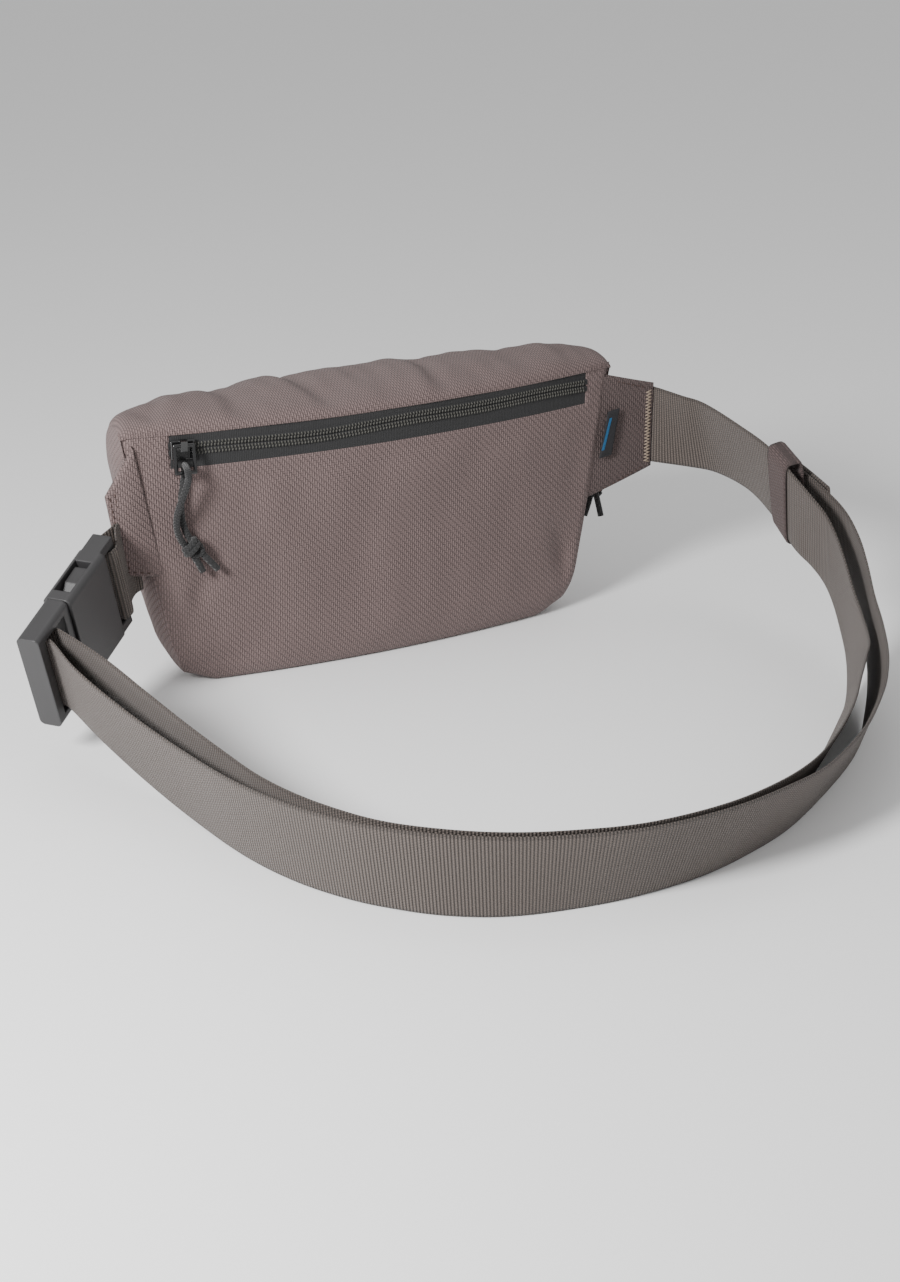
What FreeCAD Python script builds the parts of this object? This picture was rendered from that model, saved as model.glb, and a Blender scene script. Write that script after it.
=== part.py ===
import FreeCAD, Part
import math
import os

# A waist bag on a webbing belt, standing on its base. Millimetres, +Z up.
# The origin is the middle of the base. -Y is the side worn against the body.

V = FreeCAD.Vector

# Bag body
base_width = 200.0
seam_width = 245.0
seam_height = 123.0
crown_height = seam_height + 7.0
back_radius = 600.0
back_middle_y = -28.0
front_radius = 240.0
gusset_depth_base = 24.0
gusset_depth_zip = 30.0
fabric = 1.6
side_slope = (seam_width - base_width) / 2.0 / seam_height

# Rear pocket and its zip
pocket_depth = 7.0
lining = 1.0
zip_top_z = seam_height - 1.0
zip_low_z = zip_top_z - 17.0
chain_mid_z = zip_top_z - 7.5
chain_width = 6.0
chain_thick = 1.6
chain_proud = 0.2
tape_thick = 0.8
tape_left_x = -101.0
tape_right_x = 107.0

# Main zip, round the front
main_zip_z = seam_height - 25.0
main_tape_width = 14.0

# Zip sliders, pullers and pull cords
slider_length = 11.0
slider_width = 9.0
slider_lift = 0.5
plate_thick = 1.5
crown_hole = 0.95
puller_wire = 0.9
puller_width = 8.4
puller_length = 11.5
puller_lean = 2.8
lug_rise = 3.0
cord_radius = 1.5
fold_run = 2.75
fold_step = 1.95
fold_rise = 3.0
fold_drop = 3.6
knot_radius = 4.6

# Belt, wings, buckle
webbing_width = 38.0
webbing_thick = 1.4
wing_thick = 2.4
wing_reach = 23.0
wing_y = -18.4
label_thick = 0.9
wing_low_z = 55.0
wing_high_z = 118.0
stitch_thick = 0.35
keeper_thick = 1.2
keeper_room = 6.0
buckle_origin = V(-132.4, -24.8, 62.0)
buckle_axis = V(-0.696, -0.644, -0.316)
buckle_up = V(-0.24, -0.24, 0.94)
buckle_width = 48.0
buckle_thick = 13.0
female_length = 43.5
male_length = 26.0
joint_gap = 0.4
socket_width = 38.0
socket_thick = 7.6
end_bar = 4.0
web_slot = 4.6
bar_depth = 5.0
bar_thick = 4.0


def half_width(z):
    return base_width / 2.0 + side_slope * z


def back_y(x, radius=back_radius):
    return back_middle_y + back_radius - math.sqrt(radius ** 2 - x ** 2)


def front_centre(z):
    w = half_width(z)
    depth = gusset_depth_base + (gusset_depth_zip - gusset_depth_base) * min(z, main_zip_z) / main_zip_z
    return back_y(w) + depth - math.sqrt(front_radius ** 2 - w ** 2)


def plan(z, side_in, back_in, front_in, width_z=None):
    """One closed outline at height z, pulled in from the full outline."""
    wz = z if width_z is None else width_z
    w = half_width(wz) - side_in
    rb = back_radius - back_in
    rf = front_radius - front_in
    cb = back_middle_y + back_radius
    cf = front_centre(wz)
    y_back = cb - math.sqrt(rb ** 2 - w ** 2)
    y_front = cf + math.sqrt(rf ** 2 - w ** 2)
    b = [V(-w, y_back, z), V(0, cb - rb, z), V(w, y_back, z)]
    f = [V(w, y_front, z), V(0, cf + rf, z), V(-w, y_front, z)]
    edges = [
        Part.Arc(b[0], b[1], b[2]).toShape(),
        Part.LineSegment(b[2], f[0]).toShape(),
        Part.Arc(f[0], f[1], f[2]).toShape(),
        Part.LineSegment(f[2], b[0]).toShape(),
    ]
    return Part.Wire(edges)


def bag_solid(inset):
    """The bag's outer form, or with an inset the space inside the fabric."""
    rows = [
        (0.0 + inset, 3.0, 2.0, 3.0, 0.0),
        (5.0, 0.0, 0.0, 0.0, 5.0),
        (62.0, 0.0, 0.0, 0.0, 62.0),
        (112.0, 0.0, 0.0, 0.0, 112.0),
        (seam_height, 0.0, 0.0, 5.0, seam_height),
        (seam_height + 5.0 - inset * 0.5, 5.0, 3.0, 10.0, seam_height),
        (crown_height - inset, 14.0, 10.0, 20.0, seam_height),
    ]
    wires = [plan(z, s + inset, b + inset, f + inset, wz) for z, s, b, f, wz in rows]
    return Part.makeLoft(wires, True, True)


def slab(z0, z1, y0=-200.0, y1=200.0, x0=-400.0, x1=400.0):
    return Part.makeBox(x1 - x0, y1 - y0, z1 - z0, V(x0, y0, z0))


def side_wedge(side):
    """All that lies beyond the inner face of one side panel, up to the seam height."""
    x0 = half_width(0) - fabric
    x1 = half_width(seam_height) - fabric
    pts = [V(side * x0, -200, 0), V(side * 300, -200, 0), V(side * 300, -200, seam_height)]
    pts += [V(side * x1, -200, seam_height), V(side * x0, -200, 0)]
    return Part.Face(Part.makePolygon(pts)).extrude(V(0, 400, 0))


def back_sector(outer, thick, z0, z1, x0, x1):
    """A piece of the curved back between two radii, two heights and two places along X."""
    cy = back_middle_y + back_radius
    ring = Part.makeCylinder(outer, z1 - z0, V(0, cy, z0))
    ring = ring.cut(Part.makeCylinder(outer - thick, z1 - z0 + 2, V(0, cy, z0 - 1)))
    return ring.common(slab(z0, z1, -200, 0, x0, x1))


def front_sector(outer, thick, z0, z1, x_limit):
    cy = front_centre(main_zip_z)
    ring = Part.makeCylinder(outer, z1 - z0, V(0, cy, z0))
    ring = ring.cut(Part.makeCylinder(outer - thick, z1 - z0 + 2, V(0, cy, z0 - 1)))
    return ring.common(slab(z0, z1, 0.0, 200, -x_limit, x_limit))


def frame_matrix(origin, x_dir, y_dir, z_dir):
    m = FreeCAD.Matrix()
    m.A11, m.A12, m.A13, m.A14 = x_dir.x, y_dir.x, z_dir.x, origin.x
    m.A21, m.A22, m.A23, m.A24 = x_dir.y, y_dir.y, z_dir.y, origin.y
    m.A31, m.A32, m.A33, m.A34 = x_dir.z, y_dir.z, z_dir.z, origin.z
    return m


def placed(shape, matrix):
    out = shape.copy()
    out.Placement = FreeCAD.Placement(matrix).multiply(out.Placement)
    return out


def strap(stations, thick):
    """Webbing through a list of (lower edge, upper edge) points, as wide as they are apart."""
    mids = [(a + b) * 0.5 for a, b in stations]
    rings = []
    for i, (low, high) in enumerate(stations):
        layer = thick[i] if isinstance(thick, list) else thick
        ahead = mids[min(i + 1, len(mids) - 1)] - mids[max(i - 1, 0)]
        up = high - low
        up.normalize()
        out = ahead.cross(up)
        out.normalize()
        mid = (low + high) * 0.5
        half = up * (webbing_width / 2.0)
        off = out * (layer / 2.0)
        pts = [mid - half - off, mid + half - off, mid + half + off, mid - half + off]
        rings.append(Part.makePolygon(pts + [pts[0]]))
    solid = Part.makeLoft(rings, True, True)
    return solid


def tube(points, radius, label):
    """A cord: straight runs joined by arcs as large as their runs allow."""
    edges = []
    last = points[0]
    for i in range(1, len(points) - 1):
        before = points[i] - points[i - 1]
        after = points[i + 1] - points[i]
        turn = before.getAngle(after)
        r = 0.45 * min(before.Length, after.Length) / math.tan(turn / 2.0)
        reach = r * math.tan(turn / 2.0)
        d0 = V(before).normalize()
        d1 = V(after).normalize()
        a = points[i] - d0 * reach
        b = points[i] + d1 * reach
        to_mid = (d1 - d0).normalize()
        centre_gap = r / math.cos(turn / 2.0)
        mid = points[i] + to_mid * (centre_gap - r)
        edges.append(Part.LineSegment(last, a).toShape())
        edges.append(Part.Arc(a, mid, b).toShape())
        last = b
        print(label, "bend", i, "radius %.1f" % r)
    edges.append(Part.LineSegment(last, points[-1]).toShape())
    path = Part.Wire(edges)
    start = (points[1] - points[0]).normalize()
    section = Part.Wire([Part.Circle(points[0], start, radius).toShape()])
    solid = path.makePipeShell([section], True, False)
    ratio = solid.Volume / (path.Length * math.pi * radius ** 2)
    print(label, "length %.1f" % path.Length, "volume ratio %.4f" % ratio)
    return solid


# ---------------------------------------------------------------- bag panels
nodes = {}


def make_bag():
    outer = bag_solid(0.0)
    inner = bag_solid(fabric)
    shell = outer.cut(inner)
    nodes["base_panel"] = shell.common(slab(0, fabric))
    walls = shell.common(slab(fabric, crown_height + 5))
    left, right = side_wedge(-1), side_wedge(1)
    nodes["gusset_left"] = walls.common(left)
    nodes["gusset_right"] = walls.common(right)
    middle = walls.cut(left).cut(right)
    split_y = -4.0
    main_top = main_zip_z + main_tape_width / 2.0
    main_low = main_zip_z - main_tape_width / 2.0
    zip_top, zip_low = zip_top_z, zip_low_z
    nodes["rear_pocket_panel"] = middle.common(slab(fabric, zip_low, -200, split_y))
    nodes["front_panel"] = middle.common(slab(fabric, main_low, split_y, 200))
    under_front = slab(-5, main_top, split_y, 200)
    under_back = slab(-5, zip_top, -200, split_y)
    nodes["top_panel"] = walls.cut([under_front, under_back, left, right])
    nodes["zip_tab_left"] = middle.common(slab(zip_low, zip_top, -200, split_y, -400, tape_left_x))
    nodes["zip_tab_right"] = middle.common(slab(zip_low, zip_top, -200, split_y, tape_right_x, 400))
    chain_low = chain_mid_z - chain_width / 2.0
    chain_top = chain_mid_z + chain_width / 2.0
    tape_r = back_radius - 0.3
    x0, x1 = tape_left_x, tape_right_x
    nodes["rear_zip_tape_upper"] = back_sector(tape_r, tape_thick, chain_top, zip_top, x0, x1)
    nodes["rear_zip_tape_lower"] = back_sector(tape_r, tape_thick, zip_low, chain_low, x0, x1)
    coil_r = back_radius + chain_proud
    nodes["rear_zip_coil_upper"] = back_sector(coil_r, chain_thick, chain_mid_z, chain_top, x0, x1)
    nodes["rear_zip_coil_lower"] = back_sector(coil_r, chain_thick, chain_low, chain_mid_z, x0, x1)
    lining_r = back_radius - fabric - pocket_depth
    divider = back_sector(lining_r, lining, fabric, zip_top, -200, 200)
    nodes["pocket_divider"] = divider.common(inner)
    x_lim = half_width(main_low) - fabric
    c_low = main_zip_z - chain_width / 2.0
    c_top = main_zip_z + chain_width / 2.0
    fr = front_radius - 0.4
    nodes["main_zip_tape_upper"] = front_sector(fr, tape_thick, c_top, main_top, x_lim)
    nodes["main_zip_tape_lower"] = front_sector(fr, tape_thick, main_low, c_low, x_lim)
    nodes["main_zip_coil"] = front_sector(front_radius + chain_proud, chain_thick, c_low, c_top, x_lim)


# ---------------------------------------------------------------- zip pulls
def slider_shapes():
    """Slider and puller, with X along the chain and -Y outward, and the puller's two bar places."""
    face = -(chain_proud + slider_lift)
    corner = V(-slider_length / 2, face - plate_thick, -slider_width / 2)
    plate = Part.makeBox(slider_length, plate_thick, slider_width, corner)
    plate = plate.makeFillet(0.6, plate.Edges)
    top = face - plate_thick
    lug_w, lug_t, lug_h = 3.0, 3.4, 4.6
    low_z = lug_rise - lug_h / 2.0 - 0.4
    lug = Part.makeBox(lug_w, lug_t + 0.5, lug_h, V(-lug_w / 2, top - lug_t, low_z))
    hinge = V(0, top - 1.7, low_z + lug_h / 2.0)
    hole_start = V(-lug_w / 2 - 1, hinge.y, hinge.z)
    lug = lug.cut(Part.makeCylinder(crown_hole, lug_w + 2, hole_start, V(1, 0, 0)))
    slider = plate.fuse(lug).removeSplitter()
    half = puller_width / 2.0
    r = puller_wire
    bar_top = Part.makeCylinder(r, puller_width, V(-half, hinge.y, hinge.z), V(1, 0, 0))
    low = V(0, hinge.y - puller_lean, hinge.z - puller_length)
    bar_low = Part.makeCylinder(r, puller_width, V(-half, low.y, low.z), V(1, 0, 0))
    legs = []
    for s in (-1, 1):
        start = V(s * half, hinge.y, hinge.z)
        along = V(s * half, low.y, low.z) - start
        legs.append(Part.makeCylinder(r, along.Length, start, along))
        legs.append(Part.makeSphere(r, start))
        legs.append(Part.makeSphere(r, V(s * half, low.y, low.z)))
    puller = bar_top.fuse([bar_low] + legs).removeSplitter()
    return slider, puller, low, hinge


def fold_points(low, side):
    """A cord's turn over the puller's lower bar, from its top down one side."""
    far = fold_run + fold_step
    turned = fold_rise - fold_step
    return [low + V(0, 0, fold_rise), low + V(0, side * fold_run, fold_rise),
            low + V(0, side * far, turned), low + V(0, side * far, turned - fold_drop)]


def zip_pull(name, matrix, routes, knot_at):
    """Places one set. Each route carries half of a folded cord on, down to its cut end."""
    slider, puller, low, hinge = slider_shapes()
    nodes[name + "_slider"] = placed(slider, matrix)
    nodes[name + "_puller"] = placed(puller, matrix)
    for side, sign, route in (("outer", -1, routes[0]), ("inner", 1, routes[1])):
        pts = [matrix.multVec(p) for p in fold_points(low, sign)] + route
        node = name + "_cord_" + side
        nodes[node] = tube(pts, cord_radius, node)
        print(node, "from", ["%.1f %.1f %.1f" % tuple(p) for p in pts[:4]])
    nodes[name + "_knot"] = Part.makeSphere(knot_radius, knot_at)
    print(name, "hinge", matrix.multVec(hinge), "bar", matrix.multVec(low))


def back_frame(x, z):
    """Frame on the outer back surface at x, with +X along the chain and -Y outward."""
    cy = back_middle_y + back_radius
    angle = math.asin(x / back_radius)
    out = V(math.sin(angle), -math.cos(angle), 0)
    y_dir = out * -1.0
    x_dir = V(math.cos(angle), math.sin(angle), 0)
    origin = V(x, cy - back_radius * math.cos(angle), z)
    return frame_matrix(origin, x_dir, y_dir, V(0, 0, 1))


def front_frame(x, z):
    cy = front_centre(main_zip_z)
    angle = math.asin(x / front_radius)
    out = V(math.sin(angle), math.cos(angle), 0)
    origin = V(x, cy + front_radius * math.cos(angle), z)
    y_dir = out * -1.0
    x_dir = V(-math.cos(angle), math.sin(angle), 0)
    return frame_matrix(origin, x_dir, y_dir, V(0, 0, 1))


# ---------------------------------------------------------------- wings, label, stub
def wing_right():
    w0, w1 = half_width(wing_low_z), half_width(wing_high_z)
    x_end = seam_width / 2.0 + wing_reach
    pts = [V(w0, wing_y, wing_low_z), V(x_end, wing_y, 68.5)]
    pts += [V(x_end, wing_y, 110.5), V(w1, wing_y, wing_high_z)]
    return Part.Face(Part.makePolygon(pts + [pts[0]])).extrude(V(0, wing_thick, 0))


def wing_left():
    w0, w1 = half_width(wing_low_z), half_width(wing_high_z)
    y = wing_y
    pts = [V(-w0, y, wing_low_z), V(-w1, y, wing_high_z), V(-131.5, y, 97.0), V(-126.0, y, 59.0)]
    return Part.Face(Part.makePolygon(pts + [pts[0]])).extrude(V(0, wing_thick, 0))


def side_label():
    """A folded tag in the right back seam, lying on the wing."""
    z0, z1 = 77.0, 100.0
    y = wing_y - 0.2 - label_thick
    pts = [V(half_width(z0) + 1.0, y, z0), V(half_width(z0) + 8.0, y, z0 + 1.0)]
    pts += [V(half_width(z1) + 7.5, y, z1 + 1.0), V(half_width(z1) + 1.0, y, z1)]
    return Part.Face(Part.makePolygon(pts + [pts[0]])).extrude(V(0, label_thick, 0))


def wing_stitching():
    """The dense zigzag row that holds the webbing in the right wing."""
    x1 = seam_width / 2.0 + wing_reach - 1.5
    return Part.makeBox(3.6, stitch_thick, 36.0, V(x1 - 3.6, wing_y - stitch_thick, 71.5))


# ---------------------------------------------------------------- buckle
def buckle_matrix():
    a = V(buckle_axis).normalize()
    u = V(buckle_up)
    u = (u - a * u.dot(a)).normalize()
    n = u.cross(a)
    return frame_matrix(buckle_origin, a, n, u), a, n, u


def rounded_box(x0, x1, y, z, radius):
    box = Part.makeBox(x1 - x0, 2 * y, 2 * z, V(x0, -y, -z))
    along_x = [e for e in box.Edges if abs(e.Vertexes[0].X - e.Vertexes[1].X) > 1.0]
    return box.makeFillet(radius, along_x)


def female():
    hw = buckle_width / 2.0
    ht = buckle_thick / 2.0
    body = rounded_box(0, female_length, ht, hw, 3.0)
    socket_at = V(end_bar + web_slot + 3.0, -socket_thick / 2, -socket_width / 2)
    socket = Part.makeBox(female_length, socket_thick, socket_width, socket_at)
    slot_at = V(end_bar, -ht - 1, -webbing_width / 2 - 0.8)
    slot = Part.makeBox(web_slot, buckle_thick + 2, webbing_width + 1.6, slot_at)
    body = body.cut(socket).cut(slot)
    window_x0, window_x1 = 18.0, 38.0
    for s in (-1, 1):
        at = V(window_x0, -socket_thick / 2, s * (hw - 3.0) - 4.0)
        body = body.cut(Part.makeBox(window_x1 - window_x0, socket_thick, 8.0, at))
    thin = Part.makeBox(end_bar + 8, 3.0, buckle_width + 2, V(-1, -ht - 1, -hw - 1))
    thin2 = Part.makeBox(end_bar + 8, 3.0, buckle_width + 2, V(-1, ht - 2, -hw - 1))
    return body.cut(thin).cut(thin2)


def male():
    hw = buckle_width / 2.0
    x0 = female_length + joint_gap
    x1 = x0 + male_length
    frame = rounded_box(x0, x1, 5.2, hw, 2.4)
    opening_w = webbing_width + 1.6
    first = x0 + 4.5
    hole = Part.makeBox(x1 - 4.5 - first, 14, opening_w, V(first, -7, -opening_w / 2))
    frame = frame.cut(hole)
    bar_x = x1 - 4.5 - web_slot - bar_depth + 1.0
    bar = Part.makeBox(bar_depth, bar_thick, opening_w + 2, V(bar_x, -5.6, -opening_w / 2 - 1))
    bar = bar.makeFillet(1.9, [e for e in bar.Edges if abs(e.Vertexes[0].Z - e.Vertexes[1].Z) > 1.0])
    frame = frame.fuse(bar)
    tongue = Part.makeBox(26.0, 3.6, 7.0, V(x0 - 25.0, -1.8, -3.5))
    frame = frame.fuse(tongue).removeSplitter()
    return frame, bar_x, x1


def prong(side):
    """A latch arm: a bar from the male's base with a head that shows in the side window."""
    x_root = female_length + joint_gap - 0.3
    y = 3.0
    z_in, z_out = 13.4, 17.0
    pts = [V(x_root, -y, side * z_in), V(19.0, -y, side * z_in), V(18.6, -y, side * 19.0)]
    pts += [V(20.5, -y, side * 22.4), V(30.0, -y, side * 22.0), V(36.0, -y, side * z_out)]
    pts += [V(x_root, -y, side * z_out), V(x_root, -y, side * z_in)]
    return Part.Face(Part.makePolygon(pts)).extrude(V(0, 2 * y, 0))


def wrap_shape(bar_x):
    """The webbing's turn over the adjusting bar, open towards +Y in the buckle's frame."""
    gap = 0.25
    r_in = bar_depth / 2.0 + 0.45
    r_out = r_in + webbing_thick
    cx = bar_x + bar_depth / 2.0
    turn_y = -5.6 + r_in - gap
    top_y = 6.2
    clear = 0.5
    half = webbing_width / 2.0
    ring = Part.makeCylinder(r_out, webbing_width, V(cx, turn_y, -half))
    ring = ring.cut(Part.makeCylinder(r_in, webbing_width, V(cx, turn_y, -half)))
    ring = ring.common(Part.makeBox(40, 20, webbing_width, V(cx - 20, turn_y - 20, -half)))
    runs = []
    for x in (cx - r_out, cx + r_in):
        runs.append(Part.makeBox(webbing_thick, top_y - turn_y, webbing_width, V(x, turn_y, -half)))
    ends = (cx - (r_in + r_out) / 2.0, cx + (r_in + r_out) / 2.0, top_y + clear)
    return ring.fuse(runs).removeSplitter(), ends


def stub(matrix):
    """The short webbing: a loop round the buckle's end bar, then doubled back behind the left wing."""
    gap = 0.25
    bar_y = buckle_thick / 2.0 - 2.0 + gap
    x_in = end_bar + gap
    x_out = -0.6
    width = webbing_width
    outer = Part.makeBox(x_in + webbing_thick - x_out, 2 * (bar_y + webbing_thick), width)
    outer.translate(V(x_out, -bar_y - webbing_thick, -width / 2))
    inner = Part.makeBox(x_in - x_out + 1, 2 * bar_y, width, V(x_out - 1, -bar_y, -width / 2))
    loop = placed(outer.cut(inner), matrix)
    half = width / 2.0
    ends = [matrix.multVec(V(x_out, 0, s * half)) for s in (-1, 1)]
    stations = [tuple(ends), (V(-124.2, -20.0, 46.5), V(-129.0, -20.3, 84.0))]
    stations += [(V(-119.8, -14.6, 48.5), V(-123.2, -14.6, 86.3))]
    stations += [(V(-115.5, -13.8, 50.0), V(-118.8, -13.8, 87.8))]
    thick = [2 * (bar_y + webbing_thick), 3.2, 2.8, 2.8]
    band = strap(stations, thick)
    return loop, band


def loop_round(main_a, tail_a, main_b, tail_b):
    """The keeper: a fabric loop round the belt, between two places, opening towards the tail."""
    def ring(main_pair, tail_pair, grow):
        (ml, mh), (tl, th) = main_pair, tail_pair
        out = ((tl + th) - (ml + mh)) * 0.5
        up = mh - ml
        up.normalize()
        out = (out - up * out.dot(up)).normalize()
        base = ml - up * grow - out * grow
        depth = keeper_room + 2 * grow
        tall = webbing_width + 2 * grow
        pts = [base, base + up * tall, base + up * tall + out * depth, base + out * depth]
        return Part.makePolygon(pts + [pts[0]])
    inside = webbing_thick / 2.0 + 0.4
    solid = []
    for grow in (inside + keeper_thick, inside):
        solid.append(Part.makeLoft([ring(main_a, tail_a, grow), ring(main_b, tail_b, grow)], True, True))
    return solid[0].cut(solid[1])


def belt(matrix, ends):
    """Belt stations as lower and upper edge points, from the right wing round to the buckle."""
    half = webbing_width / 2.0
    x_main, x_tail, y_end = ends
    main_end = [matrix.multVec(V(x_main, y_end, s * half)) for s in (-1, 1)]
    tail_end = [matrix.multVec(V(x_tail, y_end, s * half)) for s in (-1, 1)]
    x_wing = seam_width / 2.0 + wing_reach
    main = [
        ((x_wing, -17.0, 70.5), (x_wing, -17.0, 108.5)), ((159, -31, 70), (152, -32, 107)),
        ((168, -43, 69), (158, -43, 105.5)), ((174, -62, 65), (162.5, -66.5, 101)),
        ((174, -84, 58), (166.5, -87, 95.3)), ((174.5, -100, 48.5), (169.5, -103.5, 86)),
        ((177, -111, 43), (171, -114.5, 80.3)), ((179, -119, 37), (173, -124, 74)),
        ((179, -127, 29.5), (174, -131, 67)), ((176.5, -137, 21), (171.5, -143, 58.2)),
        ((173, -147, 13), (168, -155, 49.7)), ((166.5, -158, 6), (164, -168.5, 42.5)),
        ((155.5, -172, 1.5), (157.5, -183, 37.8)), ((141, -186.5, 0), (148.5, -193.5, 36.5)),
        ((126, -200, 0), (134.5, -209, 35.9)), ((109, -215, 0), (117.5, -227.5, 34.8)),
        ((89, -231.5, 0), (96, -246.5, 34.2)), ((68, -247, 0), (73.5, -262.5, 34.3)),
        ((45, -258.5, 0), (48.5, -273.5, 34.7)), ((17, -266.8, 0), (19, -280.5, 35.4)),
        ((-15, -268.8, 0), (-15.5, -281, 36)), ((-43, -265.4, 0), (-46, -274.2, 36.8)),
        ((-64, -259.5, 0), (-68, -265.5, 37.3)), ((-82, -249, 0), (-86.5, -253.5, 37.4)),
        ((-96.5, -236, 0), (-102, -239.5, 37.4)), ((-107, -221.5, 0), (-113, -224, 37.4)),
        ((-116.5, -203, 0), (-122.8, -204.5, 37.4)), ((-124, -182, 0.5), (-130.2, -184, 38)),
        ((-130, -160, 2), (-135.5, -162, 39.5)), ((-136, -136, 6), (-142.5, -139, 43.3)),
        ((-143, -113, 12), (-150.5, -116, 49.1)), ((-151, -91, 20), (-160, -94, 56.8)),
    ]
    tail = [
        ((185, -78, 51), (178, -80, 88.3)), ((187, -92, 47), (180.5, -95, 84.2)),
        ((188.5, -106, 42), (183, -109, 79.4)), ((189, -119, 36), (184.5, -123, 73.5)),
        ((187.5, -132, 29), (182.5, -137, 66.3)), ((183.5, -145, 21.5), (178, -150.5, 58.7)),
        ((176.5, -158.5, 13), (172, -165, 50)), ((167, -172.5, 6.5), (166, -180, 43.7)),
        ((155, -187, 2), (157.5, -196, 38.9)), ((141.5, -202, 0), (146.5, -211, 36.5)),
        ((125, -217, 0), (133, -226, 36)), ((101, -234, 0), (109.5, -247, 34.7)),
        ((71, -252.5, 0), (77, -268, 34.2)), ((47, -262.5, 0), (50.5, -277.5, 34.7)),
        ((18, -270.4, 0), (20, -284, 35.4)), ((-15, -272.4, 0), (-15.5, -284.5, 36)),
        ((-44, -269, 0), (-47, -277.7, 36.8)), ((-66, -263, 0), (-70, -268.7, 37.4)),
        ((-85, -252.3, 0), (-89.5, -256.5, 37.5)), ((-99.5, -239.5, 0), (-105, -243, 37.5)),
        ((-111.5, -225.5, 0), (-117.5, -228, 37.4)), ((-124, -204.5, 0), (-130.5, -206.5, 37.4)),
        ((-134, -177, 0), (-141, -179.5, 37.3)), ((-142.5, -141, 1.5), (-150.5, -144.5, 38.5)),
        ((-152, -112, 8), (-161.5, -115.5, 44.7)), ((-161.5, -89, 17.5), (-172, -92, 54)),
    ]
    main = [(V(*a), V(*b)) for a, b in main] + [tuple(main_end)]
    tail = [(V(*a), V(*b)) for a, b in tail] + [tuple(tail_end)]
    return main, tail


make_bag()
matrix, axis_a, axis_n, axis_u = buckle_matrix()
nodes["wing_right"] = wing_right()
nodes["wing_left"] = wing_left()
nodes["side_label"] = side_label()
nodes["wing_stitching"] = wing_stitching()
nodes["buckle_female"] = placed(female(), matrix)
male_shape, bar_x, male_end = male()
nodes["buckle_male"] = placed(male_shape, matrix)
nodes["latch_prong_upper"] = placed(prong(1), matrix)
nodes["latch_prong_lower"] = placed(prong(-1), matrix)
nodes["stub_loop"], band = stub(matrix)
nodes["stub_webbing"] = band.cut([nodes["wing_left"], nodes["stub_loop"]])
wrap, ends = wrap_shape(bar_x)
nodes["belt_wrap"] = placed(wrap, matrix)
main, tail = belt(matrix, ends)
nodes["belt_main"] = strap(main, webbing_thick).cut([nodes["wing_right"], nodes["belt_wrap"]])
nodes["belt_tail"] = strap(tail, webbing_thick).cut(nodes["belt_wrap"])
out = V(2.5, 1.2, 0.5)
fold = [(a + out, b + out) for a, b in (tail[0], tail[1], tail[2])]
nodes["belt_tail_fold"] = strap(fold, 2 * webbing_thick)


def between(first, second, part):
    return tuple(p + (q - p) * part for p, q in zip(first, second))


keeper_main = (main[4], between(main[4], main[5], 0.75))
keeper_tail = (between(tail[0], tail[1], 0.45), between(tail[1], tail[2], 0.35))
nodes["keeper_loop"] = loop_round(keeper_main[0], keeper_tail[0], keeper_main[1], keeper_tail[1])


def hung(chain, *points):
    """Points under a zip chain, each given with its drop below it."""
    return [V(x, y, chain - drop) for x, y, drop in points]


rear_x = -96.0
rear_routes = [
    hung(chain_mid_z, (-101.0, -29.5, 21.0), (-102.5, -26.5, 28.5), (-102.0, -24.7, 36.5),
         (-98.7, -24.6, 43.5), (-94.0, -25.0, 49.5), (-91.0, -25.5, 56.5)),
    hung(chain_mid_z, (-98.5, -22.8, 21.5), (-99.0, -22.6, 29.0), (-98.0, -23.2, 36.5), (-94.8, -24.8, 43.0),
         (-89.8, -26.4, 49.5), (-84.5, -27.0, 56.0)),
]
rear_knot = hung(chain_mid_z, (-95.6, -25.3, 44.6))[0]
zip_pull("rear_zip", back_frame(rear_x, chain_mid_z), rear_routes, rear_knot)
main_x = 109.0
main_routes = [
    hung(main_zip_z, (116.5, 27.6, 18.5), (122.5, 22.5, 26.5), (127.0, 16.0, 34.5), (129.0, 9.5, 43.0),
         (126.0, 6.5, 50.5), (121.5, 4.5, 59.0)),
    hung(main_zip_z, (112.2, 19.2, 18.5), (118.0, 16.2, 26.5), (123.5, 11.0, 34.5), (126.3, 5.0, 43.0),
         (127.0, 1.5, 50.5), (128.0, -0.5, 58.5)),
]
main_knot = hung(main_zip_z, (127.3, 6.2, 45.0))[0]
zip_pull("main_zip", front_frame(main_x, main_zip_z), main_routes, main_knot)

os.makedirs("parts", exist_ok=True)
for name, shape in nodes.items():
    print(name, len(shape.Solids), "valid" if shape.isValid() else "INVALID", "%.1f" % shape.Volume)
    shape.exportStep("parts/" + name + ".step")
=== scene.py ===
import math

import bpy
from mathutils import Matrix, Vector, noise


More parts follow.
